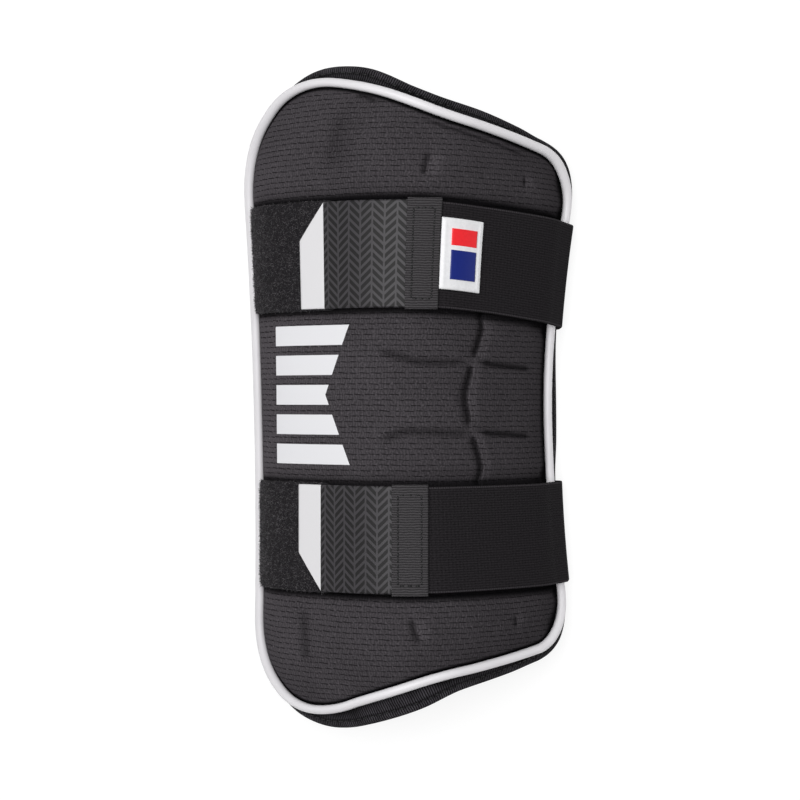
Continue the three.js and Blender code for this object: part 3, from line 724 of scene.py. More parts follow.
def bar_graphic(tree, s, y):
    """Mask of a printed block of level bars, straight at its left and notched at its right."""
    middle, pitch, reach = 1.0 * MM, 14.4 * MM, 36.0 * MM
    left, deep, right = (float(cloth_length(np.array(at), 1.0)) * MM for at in (-65.5, -33.5, -20.5))
    level = add_node(tree, "Math", {0: y, 1: middle}, operation="SUBTRACT")
    away = add_node(tree, "Math", {0: level}, operation="ABSOLUTE")
    end = add_node(tree, "Math", {0: away, 1: (right - deep) / reach, 2: deep}, operation="MULTIPLY_ADD")
    inside = add_node(tree, "Math", {0: away, 1: reach}, operation="LESS_THAN")
    before = add_node(tree, "Math", {0: s, 1: end}, operation="LESS_THAN")
    after = add_node(tree, "Math", {0: s, 1: left}, operation="GREATER_THAN")
    mask = band(tree, wave(tree, level, pitch, 0.5), 0.325, 0.345)
    for limit in (inside, before, after):
        mask = add_node(tree, "Math", {0: mask, 1: limit}, operation="MULTIPLY")
    return mask


def ribbed_cloth(name, base, pitch, along, depth, roughness, contrast, sewn=None):
    """Ribbed woven tape: round light ribs with dark grooves between, and fine thread noise.

    Where sewn gives a place across it, the tape is uneven, with painted shade where a row of stitches pulls
    it in."""
    material, tree, shader = new_material(name, roughness, 0.06)
    uv, s, y = cloth_coordinates(tree)
    fold = add_node(tree, "Attribute", {}, "Fac", attribute_name="fold")
    threads, uneven = (
        add_node(tree, "TexNoise", {"Vector": uv, "Scale": 1 / (size * MM), "Detail": detail})
        for size, detail in ((0.769, 2.0), (3.846, 1.0)))
    across = add_node(tree, "Math", {0: uneven, 1: 0.7 * pitch, 2: s if along else y},
                      operation="MULTIPLY_ADD")
    rib = band(tree, wave(tree, across, pitch), 0.0, 0.5)
    tone = 0.9 - contrast
    for value, weight in ((threads, 0.7), (rib, contrast)):
        tone = add_node(tree, "Math", {0: value, 1: weight, 2: tone}, operation="MULTIPLY_ADD")
    tone = add_node(tree, "Math", {0: tone, 1: 0.1}, operation="MAXIMUM")
    # Painted shade from the fold attribute: on the tape beside the piping and on the lining.
    factors = [add_node(tree, "Math", {0: 1.0, 1: fold}, operation="SUBTRACT")]
    if sewn is not None:
        factors += stitch_line_shade(tree, uv, y, sewn)
    for factor in factors:
        tone = add_node(tree, "Math", {0: tone, 1: factor}, operation="MULTIPLY")
    height = add_node(tree, "Math", {0: threads, 1: 0.35, 2: rib}, operation="MULTIPLY_ADD")
    surface(tree, shader, tuple(base), tone, height, 0.8, depth)
    return material


def stitch_line_shade(tree, uv, across, sewn):
    """Tones of a sewn tape: worn patches, and a wandering line of painted shade where the stitches pull it
    in.
    """
    line, wander, darkness = 2.4 * MM, 2.0 * MM, 0.6
    patches = add_node(tree, "TexNoise", {"Vector": uv, "Scale": 1 / (7.0 * MM), "Detail": 3.0})
    wear_and_painted_light = add_node(tree, "MapRange", {"Value": patches, "From Min": 0.3, "From Max": 0.7,
                                       "To Min": 0.65, "To Max": 1.3})
    bent = add_node(tree, "Math", {0: patches, 1: wander, 2: across}, operation="MULTIPLY_ADD")
    middle = 0.5 - (sewn + wander / 2) / line
    beside = add_node(tree, "Math", {0: bent, 1: 1 / line, 2: middle}, operation="MULTIPLY_ADD")
    # Painted shade along the stitch line.
    stitch_shade = add_node(tree, "Math", {0: band(tree, beside, 0.1, 0.5), 1: -darkness, 2: 1.0},
                      operation="MULTIPLY_ADD")
    return [wear_and_painted_light, stitch_shade]


def knit_lining():
    """Fine warp knit lining: matte near black with small columns of loops."""
    return ribbed_cloth("warp_knit_lining", piece_colours().lining, 1.6 * MM, True, 0.2 * MM, 0.9, 0.3)


def coated_cord():
    """Piping in a white coated cloth: smooth, faintly glossy and uneven.
    Painted shade makes it darker toward the left, and painted light makes it lighter toward the right.
    """
    material, tree, shader = new_material("coated_white_piping", 0.42, 0.4)
    at = add_node(tree, "TexCoord", {}, "Object")
    soil = add_node(tree, "TexNoise", {"Vector": at, "Scale": 1 / (16.7 * MM), "Detail": 3.0})
    tone = add_node(tree, "MapRange", {"Value": soil, "To Min": 0.9, "To Max": 1.03})
    x = add_node(tree, "SeparateXYZ", {0: at})
    # Painted light: lighter toward the right, darker toward the left.
    wear_and_painted_light = add_node(tree, "MapRange", {"Value": x, "From Min": -80 * MM, "From Max": 80 * MM,
                                       "To Min": 0.9, "To Max": 1.14})
    tone = add_node(tree, "Math", {0: tone, 1: wear_and_painted_light}, operation="MULTIPLY")
    surface(tree, shader, tuple(piece_colours().piping), tone, soil, 0.25, 0.3 * MM)
    return material


def brushed_pile():
    """Brushed nylon loop: matte black ground, mottled, under a mat of loose fibres."""
    c = piece_colours()
    material, tree, shader = new_material("brushed_nylon_loop", 0.95, 0.1, 0.05)
    at = add_node(tree, "TexCoord", {}, "Object")
    mottle = add_node(tree, "TexNoise", {"Vector": at, "Scale": 1 / (2.38 * MM), "Detail": 4.0})
    shade = add_node(tree, "Attribute", {}, "Fac", attribute_name="shade")
    shown = add_node(tree, "Mix", {"Factor": shade, "A": rgb(c.pile), "B": rgb(c.pile_light)}, "Result",
                     data_type="RGBA")
    tone = add_node(tree, "MapRange", {"Value": mottle, "To Min": 0.55, "To Max": 1.35})
    surface(tree, shader, shown, tone, mottle, 0.9, 0.6 * MM)
    return material


def printed_tab(strap):
    """Moulded soft vinyl tab: satin grey with a tone-on-tone herringbone, and a light end."""
    c = piece_colours()
    material, tree, shader = new_material(f"printed_vinyl_tab_{strap['name']}", 0.45, 0.2)
    uv, s, y = cloth_coordinates(tree)
    column, bar = 5.6 * MM, 3.9 * MM
    light_end = (strap["cut"] - strap["hook"][0]) * 1.09 * MM
    stripe = add_node(tree, "Math", {0: s, 1: column}, operation="DIVIDE")
    number = add_node(tree, "Math", {0: stripe}, operation="FLOOR")
    odd = add_node(tree, "Math", {0: number, 1: 2.0}, operation="FLOORED_MODULO")
    lean = add_node(tree, "Math", {0: odd, 1: 2.0, 2: -1.0}, operation="MULTIPLY_ADD")
    slanted = add_node(tree, "Math", {0: s, 1: lean, 2: y}, operation="MULTIPLY_ADD")
    edges = add_node(tree, "Math", {0: stripe}, operation="FRACT")
    bars = add_node(tree, "Math", {0: band(tree, wave(tree, slanted, bar), 0.27, 0.31),
                                   1: band(tree, edges, 0.41, 0.44)}, operation="MULTIPLY")
    light = add_node(tree, "Math", {0: s, 1: light_end}, operation="LESS_THAN")
    shown = rgb(c.tab)
    for share, paint in ((bars, c.tab_print), (light, c.tab_end)):
        shown = add_node(tree, "Mix", {"Factor": share, "A": shown, "B": rgb(paint)}, "Result",
                         data_type="RGBA")
    rough = add_node(tree, "MapRange", {"Value": bars, "To Min": 0.42, "To Max": 0.55})
    grain = add_node(tree, "TexNoise", {"Vector": uv, "Scale": 1 / (1.11 * MM), "Detail": 2.0})
    relief = add_node(tree, "Bump", {"Strength": 0.15, "Distance": 0.2 * MM, "Height": grain})
    feed(tree, shader, {"Base Color": shown, "Roughness": rough, "Normal": relief})
    return material


def knitted_elastic():
    """Knitted elastic: near black, fine lengthwise rows crossed by faint picks, with a light selvage."""
    z = piece_sizes()
    material, tree, shader = new_material("knitted_elastic", 0.85, 0.03)
    uv, s, y = cloth_coordinates(tree)
    threads = add_node(tree, "TexNoise", {"Vector": uv, "Scale": 1 / (0.833 * MM), "Detail": 2.0})
    rows = band(tree, wave(tree, y, z.knit_pitch), 0.05, 0.5)
    picks = band(tree, wave(tree, s, 1.7 * z.knit_pitch), 0.05, 0.5)
    edge = add_node(tree, "Math", {0: y}, operation="ABSOLUTE")
    edge = add_node(tree, "Math", {0: edge, 1: 0.5 - (WIDTH["elastic"] / 2 - 0.7) * MM}, operation="ADD")
    selvage = add_node(tree, "Math", {0: band(tree, edge, 0.2 * MM, 0.5 * MM),
                                      1: band(tree, wave(tree, s, z.knit_pitch), 0.25, 0.45)},
                       operation="MULTIPLY")
    tone = -0.15
    for value, weight in ((rows, 0.5), (picks, 0.18), (threads, 1.7), (selvage, 1.6)):
        tone = add_node(tree, "Math", {0: value, 1: weight, 2: tone}, operation="MULTIPLY_ADD")
    height = add_node(tree, "Math", {0: picks, 1: 0.4, 2: rows}, operation="MULTIPLY_ADD")
    surface(tree, shader, tuple(piece_colours().elastic), tone, height, 0.6, 0.2 * MM)
    return material


def plain_finish(name, base, roughness, specular, grain):
    """Even finish with a fine grain of the given size in metres, for thread and moulded rubber."""
    material, tree, shader = new_material(name, roughness, specular)
    at = add_node(tree, "TexCoord", {}, "Object")
    noise = add_node(tree, "TexNoise", {"Vector": at, "Scale": 1 / grain, "Detail": 2.0})
    tone = add_node(tree, "MapRange", {"Value": noise, "To Min": 0.9, "To Max": 1.08})
    surface(tree, shader, tuple(base), tone, noise, 0.3, 0.1 * MM)
    return material


def thread_finish():
    """Bonded nylon thread: dark with a faint gloss."""
    made = bpy.data.materials.get("bonded_nylon_thread")
    return made or plain_finish("bonded_nylon_thread", piece_colours().thread, 0.5, 0.4, 0.4 * MM)


def sheet_faces(upper, lower, coarse=1):
    """Faces of two grids of points, one above the other, and of the wall that joins their rims."""
    above, below = (np.arange(g.shape[0] * g.shape[1]).reshape(g.shape[:2]) for g in (upper, lower))
    below = below + above.size
    rim, foot = (np.concatenate([g[0, :-1], g[:-1, -1], g[-1, :0:-1], g[:0:-1, 0]]) for g in (above, below))
    span = (np.arange(0, len(rim), coarse)[:, None] + np.arange(coarse + 1)) % len(rim)
    wall = np.concatenate([foot[:, None], np.roll(foot, -1)[:, None], rim[span][:, ::-1]], axis=1)
    return grid_quads(*above.shape), grid_quads(*below.shape, start=above.size, flip=True), wall


def swell(upper, lower, held):
    """Moves of the upper grid when air pressure swells the closed cover by cloth simulation.

    Held points and the lower grid stay; the moves are scaled down so that none is over the stated reach."""
    points = np.concatenate([upper.reshape(-1, 3), lower.reshape(-1, 3)])
    trial = add_piece("cover_trial", points, sheet_faces(upper, lower))
    fixed = np.concatenate([held.ravel(), np.ones(held.size, bool)])
    trial.vertex_groups.new(name="held").add(np.flatnonzero(fixed).tolist(), 1.0, "REPLACE")
    cloth = trial.modifiers.new("swell", "CLOTH").settings
    cloth.quality = 5
    cloth.vertex_group_mass = "held"
    cloth.use_pressure = True
    cloth.uniform_pressure_force = SWELL["pressure"]
    cloth.effector_weights.gravity = 0
    scene = bpy.context.scene
    for number in range(1, SWELL["frames"] + 1):
        scene.frame_set(number)
    done = trial.evaluated_get(bpy.context.evaluated_depsgraph_get())
    moved = np.empty(points.size, np.float32)
    done.data.vertices.foreach_get("co", moved)
    mesh = trial.data
    bpy.data.objects.remove(trial)
    bpy.data.meshes.remove(mesh)
    scene.frame_set(1)
    moves = moved.reshape(-1, 3)[:held.size].reshape(upper.shape) - upper
    return moves * min(1.0, SWELL["reach"] * MM / np.linalg.norm(moves, axis=-1).max())


def refined(grid, times):
    """Grid of moves with each cell cut into so many each way, blended and then smoothed along both ways."""
    for axis in (0, 1):
        at = np.linspace(0, grid.shape[axis] - 1, times * (grid.shape[axis] - 1) + 1)
        first = np.minimum(at.astype(int), grid.shape[axis] - 2)
        share = (at - first).reshape([-1 if k == axis else 1 for k in range(3)])
        grid = np.take(grid, first, axis) * (1 - share) + np.take(grid, first + 1, axis) * share
        for _ in range(times):
            padded = np.concatenate([np.take(grid, [0], axis), grid, np.take(grid, [-1], axis)], axis)
            count = grid.shape[axis]
            before, after = (np.take(padded, np.arange(k, k + count), axis) for k in (0, 2))
            grid = 0.25 * before + 0.5 * grid + 0.25 * after
    return grid


def strap_distance(s, y):
    """Distance along the leg to the middle of the nearest strap."""
    return np.min([np.abs(y - strap_middle(strap, s)) for strap in STRAPS], axis=0)


def painted_shade_and_light(s, y, inset):
    """Painted shade where the cloth turns out of sight: in the dents, beside the straps and down at the
    piping.

    Below zero it is painted light, where the cloth beyond a dent or on the left flank faces the light."""
    left = ease((SEAM_LEFT + 18.0 - s) / 10.0)
    right = ease((s - 40.0) / 40.0) * (1 - ease((np.abs(y + 3.0) - 105.0) / 13.0))
    waist = ease((70.0 - np.abs(y)) / 10.0)
    # Painted shade at the rim, where the cloth turns down to the piping, and beside the straps as their
    # shadow.
    rim = SHADE["rim"] * (1 - left) * (1 - ease((inset - 3.0 - 4.0 * right) / (1.4 + 6.8 * right)))
    past = strap_distance(s, y) - WIDTH["elastic"] / 2
    beside = (SHADE["strap"] - 0.1 * waist) * (1 - ease((past - 2.2 + 0.9 * waist) / 3.4))
    _, dark, light = dents(s, y)
    dark = np.max([dark, rim, beside], axis=0)
    # Painted light on the left flank.
    flank = SHADE["flank"] * np.exp(-np.maximum(s - SEAM_LEFT, 0) / (12.0 + 13.0 * waist))
    return dark - np.maximum(SHADE["beyond"] * light, flank) * (1 - dark) ** 2


def closed_sheet(name, offset, top, bottom, columns, rows, coarse=1, held=None, sink=None):
    """Closed sheet over the flat pattern: an upper grid and a coarser lower one, joined along their rims.

    top and bottom give heights from s, y and the distance in from the seam, and sink lowers the top
    straight down. Where held is given, the sheet is swollen from the coarser grid, and held tells which
    points stay."""
    s, y = pattern_grid(offset, columns, rows)
    inset = seam_distance(s, y)
    upper = bend(s, y, top(s, y, inset))
    if sink is not None:
        upper[..., 2] -= sink(s, y, inset) * MM
    thin = (slice(None, None, coarse), slice(None, None, coarse))
    lower = bend(s[thin], y[thin], bottom(s[thin], y[thin], inset[thin]))
    if held is not None:
        upper = upper + refined(swell(upper[thin], lower, held(s[thin], y[thin], inset[thin])), coarse)
    length = cloth_length(s, y)
    flat = [np.stack([g.ravel(), t.ravel()], axis=-1) * MM for g, t in ((length, y), (length[thin], y[thin]))]
    # Painted shade and painted light of the cloth, kept in the fold attribute.
    dark = np.concatenate([painted_shade_and_light(s, y, inset).ravel(), np.zeros(lower[..., 0].size)])
    points = np.concatenate([upper.reshape(-1, 3), lower.reshape(-1, 3)])
    return add_piece(name, points, sheet_faces(upper, lower, coarse), np.concatenate(flat), {"fold": dark})


def ring_sweep(name, profile, count=720):
    """Closed ring carried along the seam: profile rows are a share of the flange, an offset and a height.

    The fold attribute is painted shade on what lies close by the piping."""
    pick = np.linspace(0, len(SEAM_LINE), count, endpoint=False).astype(int)
    line, out = SEAM_LINE[pick], SEAM_OUT[pick]
    loops, fold = [], []
    for flange_share, offset, height in profile:
        past = FLANGE_WIDTH[pick] * flange_share + offset
        at = line + out * past[:, None]
        loops.append(bend(at[:, 0], at[:, 1], height))
        # Painted shade, darkest by the piping.
        fold.append(SHADE["pipe"] * (1 - ease((past - PIPE_RADIUS - 0.6) / 2.2)))
    points = np.stack(loops, axis=1)
    rows = np.concatenate([points, points[:1]])
    quads = grid_quads(count + 1, len(profile), wrap=True)
    step = np.linalg.norm(np.diff(rows, axis=0), axis=2)
    length = np.concatenate([np.zeros((1, 1)), np.cumsum(step.mean(axis=1))[:, None]])
    uv = np.stack(np.broadcast_arrays(length, run_length(points[0])[None, :]), axis=-1).reshape(-1, 2)
    fold = np.stack(fold, axis=1)
    fold = np.concatenate([fold, fold[:1]]).ravel()
    piece = add_piece(name, rows.reshape(-1, 3), quads, uv, {"fold": fold})
    weld(piece)
    return piece


def weld(piece):
    """Merges points that coincide, so that a seam is closed; UVs stay with their faces."""
    made = bmesh.new()
    made.from_mesh(piece.data)
    bmesh.ops.remove_doubles(made, verts=made.verts, dist=0.01 * MM)
    made.to_mesh(piece.data)
    made.free()


def stitches(name, centres, along, up, length, width):
    """Row of sewing stitches: each is a short rounded bar along its seam, half sunk into the cloth."""
    along, up = unit(along), unit(up)
    side = np.cross(up, along)
    place_along = np.array([-0.5, -0.36, 0.36, 0.5]) * length
    girth = np.array([0.35, 1.0, 1.0, 0.35]) * width / 2
    sink = np.array([-0.5, 0.0, 0.0, -0.5]) * width
    turn = np.arange(6) * np.pi / 3
    points = centres[:, None, None] + along[:, None, None] * place_along[None, :, None, None]
    points = points + side[:, None, None] * (girth[:, None] * np.cos(turn))[None, :, :, None]
    rise = girth[:, None] * np.sin(turn) * 0.8 + sink[:, None]
    points = points + up[:, None, None] * rise[None, :, :, None]
    one = grid_quads(4, 6, wrap=True, flip=True)
    caps = np.array([[0, 1, 2, 3], [0, 3, 4, 5]])
    one = np.concatenate([one, caps, caps[:, ::-1] + 18])
    quads = (one[None] + 24 * np.arange(len(centres))[:, None, None]).reshape(-1, 4)
    return add_piece(name, points.reshape(-1, 3), quads)


def pad_path(s, h):
    """Path on the pad as section points."""
    return np.stack(section(s, h), axis=-1)


def elastic_base(strap, s):
    """Underside of the elastic on the pad: an eased fall from the joint to the pad."""
    return HOOK_BASE + (PAD["full"] + GAP - HOOK_BASE) * ease((s - strap["web"][1] - 0.5) / 15.5)


def elastic_path(strap):
    """Middle line of an elastic: over the pad, round the right edge, along the floor, up inside the left."""
    half = LAYER["elastic"] / 2
    s = np.arange(strap["joint"], SEAM_RIGHT - 30, 1.5)
    on_pad = [(*p, 0.0) for p in pad_path(s, elastic_base(strap, s) + half)]
    inset = np.arange(28.0, 8.0, -2.0)
    over = [(*p, 0.0) for p in pad_path(SEAM_RIGHT - inset, shoulder(inset + 2) + GAP + half + 0.1)]
    cord = (*pad_path(SEAM_RIGHT + 3.2, 2 * PIPE_RADIUS + PANEL["thick"] + GAP + 0.8), 3.0)
    corner = (float(section(SEAM_RIGHT + STRAP_FLANGE["right"], PANEL["thick"])[0]) + 2.1, half, 3.0)
    inside = -(BINDING["tape"] + BINDING["slack"] + GAP + half)
    edge = pad_path(SEAM_LEFT - STRAP_FLANGE["left"], inside)
    foot = (edge[0] - (edge[1] - half) / np.tan(np.radians(ARCH[-1][1])), half, 3.0)
    sewn = [(*p, 0.0) for p in pad_path(np.array([SEAM_LEFT + 2, SEAM_LEFT + 11, STRAP_END]), inside)]
    path = rounded([*on_pad, *over, cord, corner, foot, *sewn], False, 8.0)
    return spaced(path, 260)


def strap_middle(strap, s):
    """Middle line of a strap on the pad: level to the joint, then slanting to the right edge."""
    share = np.clip((s - strap["joint"]) / (SEAM_RIGHT - strap["joint"]), 0, 1)
    return strap["y"] + (strap["edge"] - strap["y"]) * share


def from_rim(inset):
    """Rise from 0 at the pad's rim to 1 further in, by which presses and dents fade in."""
    return np.clip((inset - PAD["from"]) / PAD["fade"], 0, 1)


def build_front_pad():
    """Pad: its top falls at the seam and sinks under the straps and in the dents, and its cover swells."""
    def top(s, y, inset):
        near = PRESS["half"] + PRESS["ease"] - strap_distance(s, y)
        pressed = PRESS["depth"] * ease(near / PRESS["ease"])
        return shoulder(inset) - pressed * from_rim(inset)

    def sink(s, y, inset):
        return dents(s, y)[0] * from_rim(inset)

    def bottom(s, y, inset):
        return np.full(s.shape, PAD["base"])

    def held(s, y, inset):
        still = (inset < SWELL["held_rim"]) | (strap_distance(s, y) < PRESS["half"])
        return still | (dents(s, y)[0] > SWELL["held_dent"])

    piece = closed_sheet("pad_cover", -PAD["from"], top, bottom, 240, 330, 3, held, sink)
    finish_piece(piece, dashed_polyester(), "front_cloth", "front_pad")


def build_back_panel():
    """Back panel: a thin padded sheet that fills the bound edge."""
    def top(s, y, inset):
        return np.full(s.shape, PANEL["pressed"])

    def bottom(s, y, inset):
        return np.zeros(s.shape)

    edge = BINDING["tape"] + BINDING["slack"]
    piece = closed_sheet("inner_panel", FLANGE_WIDTH - edge, top, bottom, 60, 110)
    finish_piece(piece, knit_lining(), "lining", "back_panel")


def build_binding():
    """Edge tape: a folded strip over the panel's edge, with a row of stitches along its face."""
    over = PANEL["pressed"] + BINDING["slack"]
    under = -BINDING["slack"]
    tape, width, fold = BINDING["tape"], BINDING["width"], BINDING["fold"]
    rise = (over + tape - under + tape) / 2
    turn = np.linspace(0, np.pi, 9)
    outer = [(width, over + tape), (width * 0.66, over + tape + 0.15), (width * 0.33, over + tape)]
    outer += [(fold * (1 - np.sin(t)), under - tape + rise + rise * np.cos(t)) for t in turn]
    outer += [(width * 0.5, under - tape), (width, under - tape), (width, under), (tape, under),
              (tape, over), (width, over)]
    profile = [(1, -inset, h) for inset, h in outer]
    piece = ring_sweep("edge_tape", profile)
    sewn = (width - BINDING["seam"]) * MM
    c, z = piece_colours(), piece_sizes()
    cloth = ribbed_cloth("grosgrain_tape", c.tape, z.tape_rib, True, 0.35 * MM, 0.8, 1.3, sewn)
    finish_piece(piece, cloth, "tape", "edge_binding")
    line = spaced(SEAM_LINE + SEAM_OUT * (FLANGE_WIDTH - BINDING["seam"])[:, None], EDGE_STITCHES)
    at = bend(line[:, 0], line[:, 1], over + tape + 0.1)
    up = bend(line[:, 0], line[:, 1], over + tape + 1.1) - at
    thread = stitches("edge_stitches", at, np.gradient(at, axis=0), up, z.stitch, THREAD["edge"] * MM)
    finish_piece(thread, thread_finish(), "tape")


def build_piping():
    """Piping: a round cord along the seam."""
    height = PANEL["thick"] + GAP + PIPE_RADIUS
    turn = np.linspace(0, 2 * np.pi, 16, endpoint=False)
    profile = [(0, -PIPE_RADIUS * np.cos(t), height + PIPE_RADIUS * np.sin(t)) for t in turn]
    piece = ring_sweep("piping_cord", profile, 800)
    finish_piece(piece, coated_cord(), "piping", "piping")


def build_loop_panel(strap, material, seed):
    """Loop panel: a soft strip down the pad's left flank, covered with loose curved fibres."""
    s = np.linspace(*strap["loop"], 110)
    thick = LAYER["loop"] * LOOP["ground"]
    path = pad_path(s, shoulder(s - SEAM_LEFT) + GAP + thick / 2)
    near = np.clip(LOOP["corner"] - (s - s[0]), 0, LOOP["corner"])
    cut = LOOP["corner"] - np.sqrt(LOOP["corner"] ** 2 - near ** 2)
    cut = cut + LOOP["tuck"] * ease((s - strap["cut"] - 1.0) / 4.0) + LOOP["inset"]
    low = strap["y"] - WIDTH["loop"] / 2 + cut
    high = strap["y"] + WIDTH["loop"] / 2 - cut
    points, quads, uv = ribbon(path, low, high, thick, 40)
    base = add_piece(f"loop_pad_{strap['name']}", points, quads, uv, {"shade": np.zeros(len(points))})
    finish_piece(base, material, "loop_pile", f"loop_panel_{strap['name']}")
    rng = np.random.default_rng(seed)
    count = piece_sizes().fibres
    at_s = rng.uniform(strap["loop"][0], strap["cut"] + 0.5, count)
    share = rng.uniform(-0.002, 1.002, count)
    at_y = np.interp(at_s, s, low) * (1 - share) + np.interp(at_s, s, high) * share
    height = shoulder(at_s - SEAM_LEFT) + GAP + LAYER["loop"] * 0.6
    root = bend(at_s, at_y, height)
    up = unit(bend(at_s, at_y, height + 1) - root)
    lean = rng.normal(size=(count, 3))
    lean = unit(lean - up * (lean * up).sum(1)[:, None])
    tall = piece_sizes().pile * rng.uniform(0.35, 1.0, count)[:, None]
    side = np.cross(up, lean) * rng.uniform(0.05, 0.09, count)[:, None] * MM
    knee = root + up * tall * 0.8 + lean * tall * 0.3
    tip = root + up * tall * 0.75 + lean * tall
    rungs = [root - side, root + side, knee - side, knee + side, tip - side * 0.5, tip + side * 0.5]
    points = np.stack(rungs, axis=1).reshape(-1, 3)
    one = np.array([[0, 1, 3, 2], [2, 3, 5, 4]])
    quads = (one[None] + 6 * np.arange(count)[:, None, None]).reshape(-1, 4)
    shade = np.repeat(rng.uniform(0, 1, count) ** 3, 6)
    pile = add_piece(f"loop_fibres_{strap['name']}", points, quads, None, {"shade": shade})
    finish_piece(pile, material, "loop_pile")


def build_hook_tab(strap):
    """Pull tab: a thin strip over the loop panel, with one corner cut at a slant."""
    half = LAYER["hook"] / 2
    s = np.unique(np.concatenate([np.linspace(*strap["hook"], 60), [strap["cut"]]]))
    path = pad_path(s, HOOK_BASE + half)
    cut = HOOK_CUT * (1 - np.clip((s - strap["hook"][0]) / (strap["cut"] - strap["hook"][0]), 0, 1))
    low = strap["y"] - WIDTH["hook"] / 2 + (cut if strap["side"] < 0 else 0 * cut)
    high = strap["y"] + WIDTH["hook"] / 2 - (cut if strap["side"] > 0 else 0 * cut)
    flare_at = strap["y"] if strap["square"] else None
    points, quads, uv = ribbon(path, low, high, LAYER["hook"], 24, flare_at=flare_at)
    piece = add_piece(f"pull_tab_{strap['name']}", points, quads, uv)
    finish_piece(piece, printed_tab(strap), "tab", f"hook_tab_{strap['name']}")


def drawn_in(points, tuck, drop):
    """Strip points drawn in toward the leg low down at the right, by the stated mm at its two edges.

    On the right flank the lower edge also drops by the stated mm, which fades out toward the upper edge."""
    low, high = points[:, 1].min(), points[:, 1].max()
    inward = np.interp(points[:, 1], (low, high), tuck)
    down = np.interp(points[:, 1], (low, high), (drop, 0.0))
    x, z = points[:, 0] / MM, points[:, 2] / MM
    low_down = 0.37 * ease((26.0 - z) / 10.0) + 0.63 * ease((13.0 - z) / 12.0)
    moves = np.stack([inward * low_down * ease((x - 55) / 15), down * ease((x - 30) / 40), 0 * x], axis=-1)
    return points - moves * MM


def build_elastic(strap, material):
    """Elastic strap: a strip of even width along its whole path, slanting along the leg."""
    path = elastic_path(strap)
    turn = int(np.argmax(path[:, 1] < LAYER["elastic"]))
    i = np.arange(len(path))
    front = np.clip(i / turn, 0, 1)
    back = np.clip((i - turn) / (len(path) - 1 - turn), 0, 1)
    middle = strap["y"] + (strap["edge"] - strap["y"]) * front + (strap["end"] - strap["edge"]) * back
    half = WIDTH["elastic"] / 2
    points, quads, uv = ribbon(path, middle - half, middle + half, LAYER["elastic"], 24, middle=middle)
    points = drawn_in(points, strap["tuck"], strap["drop"])
    piece = add_piece(f"elastic_{strap['name']}", points, quads, uv)
    finish_piece(piece, material, "elastic", f"elastic_strap_{strap['name']}")


def build_web_tab(strap, material):
    """Webbing tab: a thick ribbed strip over the joint, sewn down by a box of stitches."""
    half = LAYER["web"] / 2
    s = np.linspace(*strap["web"], 24)
    low = np.full(len(s), strap["y"] - WIDTH["web"] / 2)
    flare_at = strap["y"] if strap["square"] else None
    path = pad_path(s, WEB_BASE + half)
    points, quads, uv = ribbon(path, low, low + WIDTH["web"], LAYER["web"], 60, flare_at=flare_at)
    piece = add_piece(f"webbing_{strap['name']}", points, quads, uv)
    finish_piece(piece, material, "webbing", f"web_tab_{strap['name']}")
    left, right = strap["web"][0] + 2.0, strap["web"][1] - 2.2
    reach = WIDTH["web"] / 2 - 5.0
    box = np.array([(left, -reach), (right, -reach), (right, reach), (left, reach), (left, -reach)])
    box[:, 1] += strap["y"]
    line = np.concatenate([spaced(box[k:k + 2], n)[:-1] for k, n in enumerate((4, 17, 4, 17))])
    x, z = section(line[:, 0], WEB_BASE + LAYER["web"])
    at = place(x, line[:, 1], z, flare_at)
    x, z = section(line[:, 0], WEB_BASE + LAYER["web"] + 1)
    up = place(x, line[:, 1], z, flare_at) - at
    ahead = np.roll(at, -1, axis=0) - at
    thread = stitches(f"box_stitches_{strap['name']}", at + ahead / 2, ahead, up,
                      piece_sizes().stitch, THREAD["box"] * MM)
    finish_piece(thread, thread_finish(), "webbing")


def label_dome(u, v):
    """Swell over the label's middle: half a sine wave each way, from shares of its width and height."""
    return LABEL["dome"] * np.sin(np.pi * np.clip(u, 0, 1)) * np.sin(np.pi * np.clip(v, 0, 1))


def label_surface(s, y, rise):
    """Label surface: the elastic's top, the swell over the middle and the given rise."""
    u = (s - LABEL["from"]) / (LABEL["to"] - LABEL["from"])
    v = (y - LABEL["low"]) / (LABEL["high"] - LABEL["low"])
    return elastic_base(STRAPS[0], s) + LAYER["elastic"] + GAP + rise + label_dome(u, v)


def build_label():
    """Label: a moulded rubber patch with a raised rim and plain raised bars."""
    c = piece_colours()
    thick = LAYER["label"] - LABEL["dome"]
    s = np.linspace(LABEL["from"], LABEL["to"], 40)
    path = pad_path(s, elastic_base(STRAPS[0], s) + LAYER["elastic"] + GAP + thick / 2)
    middle, reach = (LABEL["from"] + LABEL["to"]) / 2, LABEL["to"] - LABEL["from"]
    drop = LABEL["slant"] * (s - middle)

    def lift(length, y):
        u = length / length.max()
        v = (y + LABEL["slant"] * (u - 0.5) * reach - LABEL["low"]) / (LABEL["high"] - LABEL["low"])
        near = np.minimum(np.minimum(u, 1 - u) * LABEL_RIM["across"],
                          np.minimum(v, 1 - v) * LABEL_RIM["along"])
        rim = LABEL_RIM["rise"] * bell(near - LABEL_RIM["inset"], LABEL_RIM["half"])
        return label_dome(u, v) + rim

    points, quads, uv = ribbon(path, LABEL["low"] - drop, LABEL["high"] - drop, thick, 48, lift)
    piece = add_piece("rubber_label", points, quads, uv)
    grain = 1.43 * MM
    rubber = plain_finish("moulded_white_rubber", c.label, 0.45, 0.4, grain)
    finish_piece(piece, rubber, "label", "strap_label")
    for name, first, last, paint in LABEL_BARS:
        t = np.linspace(LABEL["from"] + 3.4, LABEL["to"] - 3.2, 24)
        path = pad_path(t, label_surface(t, (first + last) / 2, thick) + 0.05)
        edge = first - LABEL["slant"] * (t - middle)
        points, quads, uv = ribbon(path, edge, edge + (last - first), 0.5, 8)
        bar = add_piece(name, points, quads, uv)
        finish_piece(bar, plain_finish(f"{name}_rubber", getattr(c, paint), 0.45, 0.4, grain), "label")


